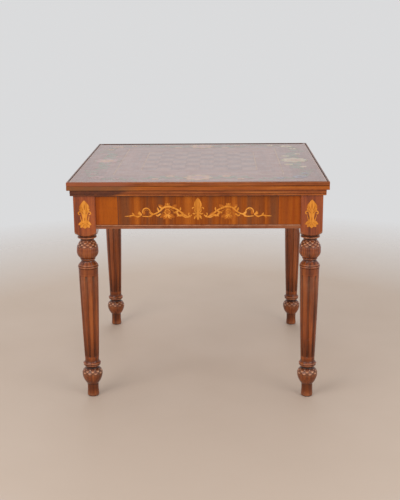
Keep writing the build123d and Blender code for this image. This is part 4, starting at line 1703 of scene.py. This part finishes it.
@dataclass
class Baize:
    """A sheet of baize on a flat bed, with a soft edge and a slightly uneven nap."""

    finishes: Finishes
    name: str
    node: str
    body: str
    bed: str
    held: str
    cell: float = 0.012
    edge: float = 0.0004
    nap: float = 0.00005
    nap_waves: tuple[float, ...] = (61.0, 23.0, 47.0, 31.0)
    nap_stir: Point = (2.0, 1.5)
    notched: bool = False

    def build(self) -> None:
        """Makes the sheet in the room of its plain solid."""
        low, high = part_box(self.node)
        columns, rows = round((high.x - low.x) / self.cell), round((high.y - low.y) / self.cell)
        xs = np.linspace(low.x, high.x, columns + 1)
        ys = np.linspace(low.y, high.y, rows + 1)
        keep = self.notch(xs, ys) if self.notched else np.ones((columns, rows), bool)
        x, y = np.meshgrid(xs, ys, indexing="ij")
        a, b, c, d = self.nap_waves
        first, second = self.nap_stir
        wave = np.sin(x * a + first * np.sin(y * b)) * np.sin(y * c + second * np.sin(x * d))
        near = np.minimum.reduce((x - low.x, high.x - x, y - low.y, high.y - y))
        nap = self.nap * wave - self.edge * (near < self.cell / 2)
        top_is_free = self.held != "stretched" or "lower" in self.node
        upper = np.full_like(x, high.z) + (nap if top_is_free else 0.0) - self.nap
        lower = np.full_like(x, low.z) - (0.0 if top_is_free else nap) + self.nap
        self.close(np.stack((x, y, upper), -1), np.stack((x, y, lower), -1), keep)

    @staticmethod
    def notch(xs: np.ndarray, ys: np.ndarray) -> np.ndarray:
        """Fits the grid's lines to the two left legs, and leaves out the cells that lie in them.

        Args:
            xs: The grid's places along X, which are changed.
            ys: The grid's places along Y, which are changed.

        Returns:
            Which cells of the grid are cloth.
        """
        leg = -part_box("leg_front_left")[1].x
        xs[np.argmin(np.abs(xs + leg))] = -leg
        for side in (-leg, leg):
            ys[np.argmin(np.abs(ys - side))] = side
        middle_x, middle_y = (xs[:-1] + xs[1:]) / 2, (ys[:-1] + ys[1:]) / 2
        return ~((middle_x[:, None] < -leg) & (np.abs(middle_y[None, :]) > leg))

    def close(self, upper: np.ndarray, lower: np.ndarray, keep: np.ndarray) -> None:
        """Args:
            upper: The grid of points on its upper face.
            lower: The grid of points on its lower face.
            keep: Which cells of the grid are cloth.
        """
        columns, rows = keep.shape
        count = (columns + 1) * (rows + 1)
        at = np.arange(count).reshape(columns + 1, rows + 1)
        padded = np.pad(keep, 1)
        faces = []
        for i, j in zip(*np.nonzero(keep)):
            a, b, c, d = at[i, j], at[i + 1, j], at[i + 1, j + 1], at[i, j + 1]
            faces += [(a, b, c, d), (count + d, count + c, count + b, count + a)]
            beyond = ((i + 1, j), (i + 2, j + 1), (i + 1, j + 2), (i, j + 1))
            for (column, row), start, end in zip(beyond, (a, b, c, d), (b, c, d, a)):
                if not padded[column, row]:
                    faces.append((start, count + start, count + end, end))
        used = sorted({int(corner) for face in faces for corner in face})
        number = {old: new for new, old in enumerate(used)}
        points = np.vstack((upper.reshape(-1, 3), lower.reshape(-1, 3)))[used]
        sketch = Sketch()
        sketch.add(points, [tuple(number[int(corner)] for corner in face) for face in faces])
        made = sketch.piece(self.name, self.finishes["baize"], self.body, "baize", (self.node,), crease=60.0)
        cells = np.diff(upper[:, 0, 0])[:, None] * np.diff(upper[0, :, 1])[None, :]
        area = float(cells[keep].sum())


@dataclass
class Screws:
    """Countersunk brass screws with turned slots, driven along one axis."""

    radius: float = 0.0024
    stand: float = 0.00012
    rim_stand_share: float = 0.4
    crown_width_share: float = 0.8
    crown_depth_share: float = 0.75
    slot_width: float = 0.0006
    slot_depth: float = 0.00035
    first_turn: float = 12.0
    next_turn: float = 37.0
    steps: int = 20

    def head(self, centre: Place, outward: Place, slot_turn: float) -> tuple[np.ndarray, list[Face]]:
        """One slotted head, as a low dome parted by its slot.

        Args:
            centre: The middle of the head, on the plate's face.
            outward: The way it faces.
            slot_turn: The slot's turn in degrees.

        Returns:
            Its points and faces.
        """
        out = Vector(outward).normalized()
        first = out.orthogonal().normalized()
        second = out.cross(first)
        turn = math.radians(slot_turn)
        along = first * math.cos(turn) + second * math.sin(turn)
        aside = out.cross(along)
        points, faces = [], []
        half = self.slot_width / 2
        reach = math.acos(half / self.radius)
        for way in (1, -1):
            base = len(points)
            rim = [reach * (2 * number / self.steps - 1) for number in range(self.steps + 1)]
            outline = [(self.radius * math.sin(a) * way, self.radius * math.cos(a) * way) for a in rim]
            crown = [(u * self.crown_width_share, half * way + (v - half * way) * self.crown_depth_share)
                     for u, v in outline]
            rim_stand = self.stand * self.rim_stand_share
            rings = ((outline, -self.slot_depth), (outline, rim_stand), (crown, self.stand))
            for ring, height in rings:
                points += [Vector(centre) + along * u + aside * v + out * height for u, v in ring]
            size = self.steps + 1
            for level in (0, 1):
                for number in range(size):
                    after = (number + 1) % size
                    a, b = base + level * size, base + (level + 1) * size
                    faces.append((a + after, a + number, b + number, b + after))
            faces.append(tuple(base + 2 * size + number for number in range(size - 1, -1, -1)))
            faces.append(tuple(base + number for number in range(size)))
        return np.array([tuple(point) for point in points]), faces

    def drive(self, name: str, places: list[Place], outward: Place, finish: bpy.types.Material, body: str,
              slot: str) -> bpy.types.Object:
        """Makes one piece of several screws.

        Args:
            name: The piece's name.
            places: Where the heads lie.
            outward: The way they face.
            finish: Their material.
            body: The body that they ride on.
            slot: Passed on to the piece, which does not use it.

        Returns:
            The new object.
        """
        sketch = Sketch()
        for number, place in enumerate(places):
            sketch.add(*self.head(place, outward, self.next_turn * number + self.first_turn))
        return sketch.piece(name, finish, body, slot, crease=30.0)


@dataclass
class Top:
    """The two leaves: mouldings, baize, hinges, and the inlaid face with its chessboard and flowers."""

    finishes: Finishes
    crown: float = 0.0026
    arris: float = 0.0011
    wide_arris_share: float = 1.6
    wide_crown_share: float = 1.3
    screw_rise_share: float = 0.62
    screw_end: float = 0.009
    flower_lift: float = 0.00012
    line_width: float = 0.0026
    back_line_width: float = 0.0180
    pale_width: float = 0.0024
    spray_inset: float = 0.012
    corner_share: float = 0.99

    def edges(self, leaf: str) -> None:
        """Runs the lippings round a leaf; the back one, which is let in for the hinges, is carried over.

        Args:
            leaf: The leaf's name, lower or upper.
        """
        low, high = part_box(f"{leaf}_lipping_front")
        outer, inner, foot, top = -low.y, -high.y, low.z, high.z
        a, crown = self.arris, self.crown
        upper = leaf == "upper"
        # the last value of each point is painted shade on the arrises at the seam between the leaves, a
        # painted dark rim on the upper leaf's top, and a painted highlight along its crown
        profile = [(inner, foot, 0.0), (outer - a, foot, -0.8)]
        profile += rounded((outer - a, foot + a), a, -90, 90, -1.0 if upper else -0.6, 5)
        profile += [(outer, foot + a * self.wide_arris_share, 0.1)]
        if upper:
            profile += [(outer, top - crown * self.wide_crown_share, 0.1)]
            profile += rounded((outer - crown, top - crown), crown, 0, 62, 0.9, 8)
            profile += [(outer - crown * 1.1, top - crown * 0.02, -0.7), (inner + 0.0012, top, -0.9)]
            profile += [(inner, top - 0.0005, -1.0)]
        else:
            profile += [(outer, top - a * self.wide_arris_share, 0.1)]
            profile += rounded((outer - a, top - a), a, 0, 90, -1.0, 5)
            profile += [(outer - a * 1.2, top, -0.8), (inner, top, 0.0)]
        Moulding(tuple(profile)).lay(f"{leaf}_edge", f"{leaf}_lipping", self.finishes[f"{leaf}_edge"],
                                     f"{leaf}_leaf", "lipping_wood", ("front", "right", "left"))
        # the upper leaf's back lipping gets the painted dark reflection
        self.finishes.dress("back_edge_dark_reflection" if upper else "lower_edge", f"{leaf}_lipping_back")

    def face_ground(self, turns: int, reach: float, turned: float = 0.0) -> Ground:
        """The top's inlaid face, seen from one side, with its origin out from the middle.

        Args:
            turns: The side's number of quarter turns from the front.
            reach: How far the origin lies from the middle.
            turned: A further turn about the middle, in degrees.

        Returns:
            The face.
        """
        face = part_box("outer_border")[1].z
        a = math.radians(turned)
        points = np.array([[math.sin(a) * reach, -math.cos(a) * reach, face], [math.cos(a), math.sin(a), 0.0],
                           [-math.sin(a), math.cos(a), 0.0]])
        origin, across, up = quarter_turned(points, turns).tolist()
        return Ground(tuple(origin), tuple(across), tuple(up))

    def medallion(self, ground: Ground, name: str, blossom: str) -> None:
        """Lays one spray of flowers: a full blossom, buds at its sides and leaves all round.

        Args:
            ground: The face that it is let into.
            name: The spray's name.
            blossom: The finish of its petals.
        """
        leaves, flower, heart = (Marquetry(ground, lift=level * self.flower_lift) for level in range(3))
        for way in (1, -1):
            stem = ((0.020, -0.004), (0.070, 0.010), (0.120, -0.006), (0.172, 0.008))
            leaves.stroke(flowing(*((way * u, v) for u, v in stem)), 0.0044)
            for number in range(7):
                root = (way * (0.044 + 0.019 * number), 0.006 * math.sin(number * 1.1))
                heading = 38 if number % 2 else -38
                leaves.leaf(root, heading if way > 0 else 180 - heading, 0.0400, 0.0200, 0.004 * way)
            for bud, size in (((way * 0.094, 0.026), 0.0180), ((way * 0.142, -0.022), 0.0140)):
                flower.petals(bud, size, 5, 0.003, size * 0.95, 90)
                heart.disc(bud, size * 0.26)
        middle = (0.0, 0.0)
        leaves.petals(middle, 0.0530, 8, 0.0260, 0.0200, 22.5)
        flower.petals(middle, 0.0525, 8, 0.0080, 0.0350, 0.0)
        heart.petals(middle, 0.0290, 8, 0.0050, 0.0160, 22.5)
        flower.disc(middle, 0.0075)
        tones = (("petals", flower, blossom), ("hearts", heart, "rose" if blossom == "peach" else "peach"),
                 ("leaves", leaves, "leaf"))
        for kind, layer, finish in tones:
            layer.sketch.piece(f"{name}_{kind}", self.finishes[finish], "upper_leaf", "border_veneer")

    def corner_spray(self, ground: Ground, name: str, blossom: str) -> None:
        """Lays the spray in one corner of the border.

        Args:
            ground: The face that it is let into.
            name: The spray's name.
            blossom: The finish of its petals.
        """
        leaves, flower = Marquetry(ground, True), Marquetry(ground, True, self.flower_lift)
        stem = flowing((0.0, -0.004), (0.030, 0.010), (0.062, 0.020), (0.100, 0.060), (0.128, 0.076))
        leaves.stroke(stem, 0.0030)
        for number in range(7):
            root = (0.022 + 0.016 * number, 0.006 + 0.0105 * number)
            leaves.leaf(root, 75 + 6 * number if number % 2 else -12 - 4 * number, 0.028, 0.0150, 0.003)
        flower.petals((0.0, 0.004), 0.0290, 7, 0.005, 0.0190, 90)
        flower.petals((0.062, 0.034), 0.0160, 5, 0.003, 0.0130, 30)
        for kind, layer, finish in (("leaves", leaves, "leaf"), ("petals", flower, blossom)):
            layer.sketch.piece(f"{name}_{kind}", self.finishes[finish], "upper_leaf", "border_veneer")

    def flowers(self) -> None:
        """Lays the four sprays in the middles of the border's sides, and the four in its corners."""
        reach = (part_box("outer_border")[1].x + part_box("banding")[1].x) / 2 - self.spray_inset
        for turns, (side, blossom) in enumerate(zip(SIDES, ("peach", "straw", "peach", "rose"))):
            self.medallion(self.face_ground(turns, reach), f"spray_{side}", blossom)
        for turns, (corner, blossom) in enumerate(zip(CORNERS, ("rose", "blue", "straw", "peach"))):
            ground = self.face_ground(turns, reach * math.sqrt(2) * self.corner_share, -45.0)
            self.corner_spray(ground, f"corner_spray_{corner}", blossom)

    def rim_line(self) -> None:
        """Lays a dull dark line of painted dark reflection round the border, wider along the hinges, and a
        pale line of painted highlight inside it.
        """
        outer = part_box("outer_border")[1].x
        for turns, side in enumerate(SIDES):
            dark = self.back_line_width if side == "back" else self.line_width
            lines = (("rim_line", outer, dark), ("pale_line", outer - dark, self.pale_width))
            for name, reach, width in lines:
                line = Marquetry(self.face_ground(turns, reach))
                inner = reach - width
                line.slip([(-reach, 0.0), (reach, 0.0), (inner, width), (-inner, width)])
                line.sketch.piece(f"{name}_{side}", self.finishes[name], "upper_leaf", "border_veneer")

    def hinge_screws(self) -> None:
        """Drives the screws of the two hinges."""
        screws = Screws()
        for side in ("left", "right"):
            for leaf in ("lower", "upper"):
                low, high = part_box(f"{side}_hinge_{leaf}")
                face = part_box(f"{leaf}_lipping_back")[1].y
                near, far = (high.z, low.z) if leaf == "lower" else (low.z, high.z)
                height = near + (far - near) * self.screw_rise_share
                middle, end = (low.x + high.x) / 2, (high.x - low.x) / 2 - self.screw_end
                places = [(middle + step * end, face, height) for step in (-1, 0, 1)]
                screws.drive(f"{side}_hinge_screws_{leaf}", places, (0.0, 1.0, 0.0),
                             self.finishes["brass"], f"{leaf}_leaf", "hinge_brass")

    def build(self) -> None:
        """Builds the leaves' own pieces and finishes those that are carried over."""
        for leaf in ("lower", "upper"):
            self.edges(leaf)
            self.finishes.dress("board", f"{leaf}_board")
            self.finishes.dress("brass", f"left_hinge_{leaf}", f"right_hinge_{leaf}")
        for finish, node in (("outer_border", "outer_border"), ("inner_border", "inner_border"),
                             ("banding", "banding"), ("banding", "board_stringing"),
                             ("dark_square", "dark_squares"), ("light_square", "light_squares")):
            self.finishes.dress(finish, node)
        self.flowers()
        self.rim_line()
        self.hinge_screws()


@dataclass(frozen=True)
class Lamp:
    """A soft square lamp, which points at a height over the middle of the table."""

    name: str
    place: Place
    aim: float
    side: float
    power: float
    colour: Colour = (1.0, 0.98, 0.96)

    def hang(self) -> None:
        """Hangs the lamp."""
        data = bpy.data.lights.new(self.name, "AREA")
        data.size, data.energy, data.color = self.side, self.power, self.colour
        lamp = bpy.data.objects.new(self.name, data)
        lamp.location = self.place
        ahead = Vector((0.0, 0.0, self.aim)) - Vector(self.place)
        lamp.rotation_euler = ahead.to_track_quat("-Z", "Y").to_euler()
        bpy.context.scene.collection.objects.link(lamp)


@dataclass(frozen=True)
class Studio:
    """The camera at the photograph's viewpoint, a plain floor, soft lamps and a pale background."""

    focal_pixels: float = 922.66
    image_height: float = 500.0
    sensor: float = 36.0
    camera_place: Place = (0.07656, -3.38543, 1.32944)
    pitch: float = -14.93
    yaw: float = -1.362
    roll: float = 0.485
    floor_reach: float = 2.6
    floor_colour: Colour = (0.555, 0.448, 0.370)
    floor_clouds: Noise = Noise(3.0, 3.0)
    floor_cloud_band: Band = Band(0.3, 0.7, 0.0, 0.12)
    floor_cloud_tone: float = 0.8
    floor_roughness: Band = Band(0.3, 0.7, 0.55, 0.7)
    floor_relief: float = 0.0002
    fade_shares: Point = (0.45, 0.98)
    wall_colour: Colour = (0.705, 0.708, 0.716)
    world_colour: Colour = (1.0, 0.985, 0.96)
    world_light: float = 0.70
    lamps: tuple[Lamp, ...] = (
        Lamp("window", (-1.9, -2.3, 2.3), 0.45, 1.8, 35.5, (1.0, 0.98, 0.95)),
        Lamp("fill", (2.2, -2.2, 1.4), 0.4, 1.8, 25.0),
        Lamp("back", (-0.1, 2.4, 2.4), 0.5, 1.6, 16.0, (1.0, 1.0, 1.0)),
        Lamp("sparkle", (0.25, -3.3, 2.5), 0.5, 0.35, 6.0),
    )

    def camera(self) -> None:
        """Sets the camera."""
        pitch, yaw, roll = (math.radians(value) for value in (self.pitch, self.yaw, self.roll))
        ahead = Vector((math.sin(yaw) * math.cos(pitch), math.cos(yaw) * math.cos(pitch), math.sin(pitch)))
        right = Vector((math.cos(yaw), -math.sin(yaw), 0.0))
        down = ahead.cross(right)
        level_right = right * math.cos(roll) + down * math.sin(roll)
        level_down = down * math.cos(roll) - right * math.sin(roll)
        data = bpy.data.cameras.new("view")
        data.sensor_width = self.sensor
        data.lens = self.focal_pixels * self.sensor / self.image_height
        camera = bpy.data.objects.new("view", data)
        turned = Matrix((level_right, -level_down, -ahead)).transposed().to_4x4()
        camera.matrix_world = Matrix.Translation(self.camera_place) @ turned
        bpy.context.scene.collection.objects.link(camera)
        bpy.context.scene.camera = camera

    def floor(self) -> None:
        """Lays a plain pale floor that fades into the background towards its edge."""
        shader = Shader("plain_floor")
        place = shader.place()
        clouds = shader.cloud(place, self.floor_clouds)
        colour = shader.mix(shader.spread(clouds, self.floor_cloud_band), self.floor_colour,
                            toned(self.floor_colour, self.floor_cloud_tone))
        shader.finish(colour, shader.spread(clouds, self.floor_roughness), clouds, self.floor_relief)
        distance = shader.node("ShaderNodeVectorMath", {0: place}, operation="LENGTH").outputs["Value"]
        near, far = (self.floor_reach * share for share in self.fade_shares)
        clear = shader.node("ShaderNodeBsdfTransparent").outputs["BSDF"]
        surface = shader.surface.outputs["BSDF"]
        fade = shader.spread(distance, Band(near, far))
        faded = shader.node("ShaderNodeMixShader", {0: fade, 1: surface, 2: clear})
        shader.tree.links.new(faded.outputs[0], shader.output.inputs["Surface"])
        mesh = bpy.data.meshes.new("floor")
        ring = [(x, y, 0.0) for x, y in arc((0.0, 0.0), self.floor_reach, 0, 360, steps=72)[:-1]]
        mesh.from_pydata(ring, [], [tuple(range(len(ring)))])
        mesh.materials.append(shader.material)
        floor = bpy.data.objects.new("floor", mesh)
        bpy.context.scene.collection.objects.link(floor)

    def world(self) -> None:
        """Gives soft light from all round, and a pale background in view and in reflections."""
        world = bpy.data.worlds.new("studio")
        bpy.context.scene.world = world
        world.use_nodes = True
        tree = world.node_tree
        tree.nodes.clear()
        mixed, output = tree.nodes.new("ShaderNodeMixShader"), tree.nodes.new("ShaderNodeOutputWorld")
        tree.links.new(mixed.outputs[0], output.inputs["Surface"])
        lights = ((1, self.world_colour, self.world_light), (2, self.wall_colour, 1.0))
        for number, colour, strength in lights:
            light = tree.nodes.new("ShaderNodeBackground")
            light.inputs["Color"].default_value = (*colour, 1.0)
            light.inputs["Strength"].default_value = strength
            tree.links.new(light.outputs[0], mixed.inputs[number])
        path = tree.nodes.new("ShaderNodeLightPath")
        seen = path.outputs["Is Camera Ray"]
        for ray in ("Is Glossy Ray", "Is Transmission Ray"):
            either = tree.nodes.new("ShaderNodeMath")
            either.operation = "MAXIMUM"
            tree.links.new(seen, either.inputs[0])
            tree.links.new(path.outputs[ray], either.inputs[1])
            seen = either.outputs[0]
        tree.links.new(seen, mixed.inputs[0])

    def build(self) -> None:
        """Sets up the whole studio."""
        self.camera()
        self.floor()
        self.world()
        for lamp in self.lamps:
            lamp.hang()
        bpy.context.scene.view_settings.view_transform = "Standard"


def main() -> None:
    """Builds the table's finished look, sub-assembly by sub-assembly."""
    logging.basicConfig(level=logging.INFO, format="%(name)s: %(message)s")
    finishes = Finishes()
    parts = (
        TurnedLegs(finishes),
        Case(finishes),
        Top(finishes),
        Baize(finishes, "well_baize", "well_lining", "base", "well_floor", "laid", notched=True),
        Baize(finishes, "lower_leaf_baize", "lower_baize", "lower_leaf", "lower_board", "stretched"),
        Baize(finishes, "upper_leaf_baize", "upper_baize", "upper_leaf", "upper_board", "stretched"),
        Studio(),
    )
    for part in parts:
        part.build()


if __name__ == "__main__":
    main()
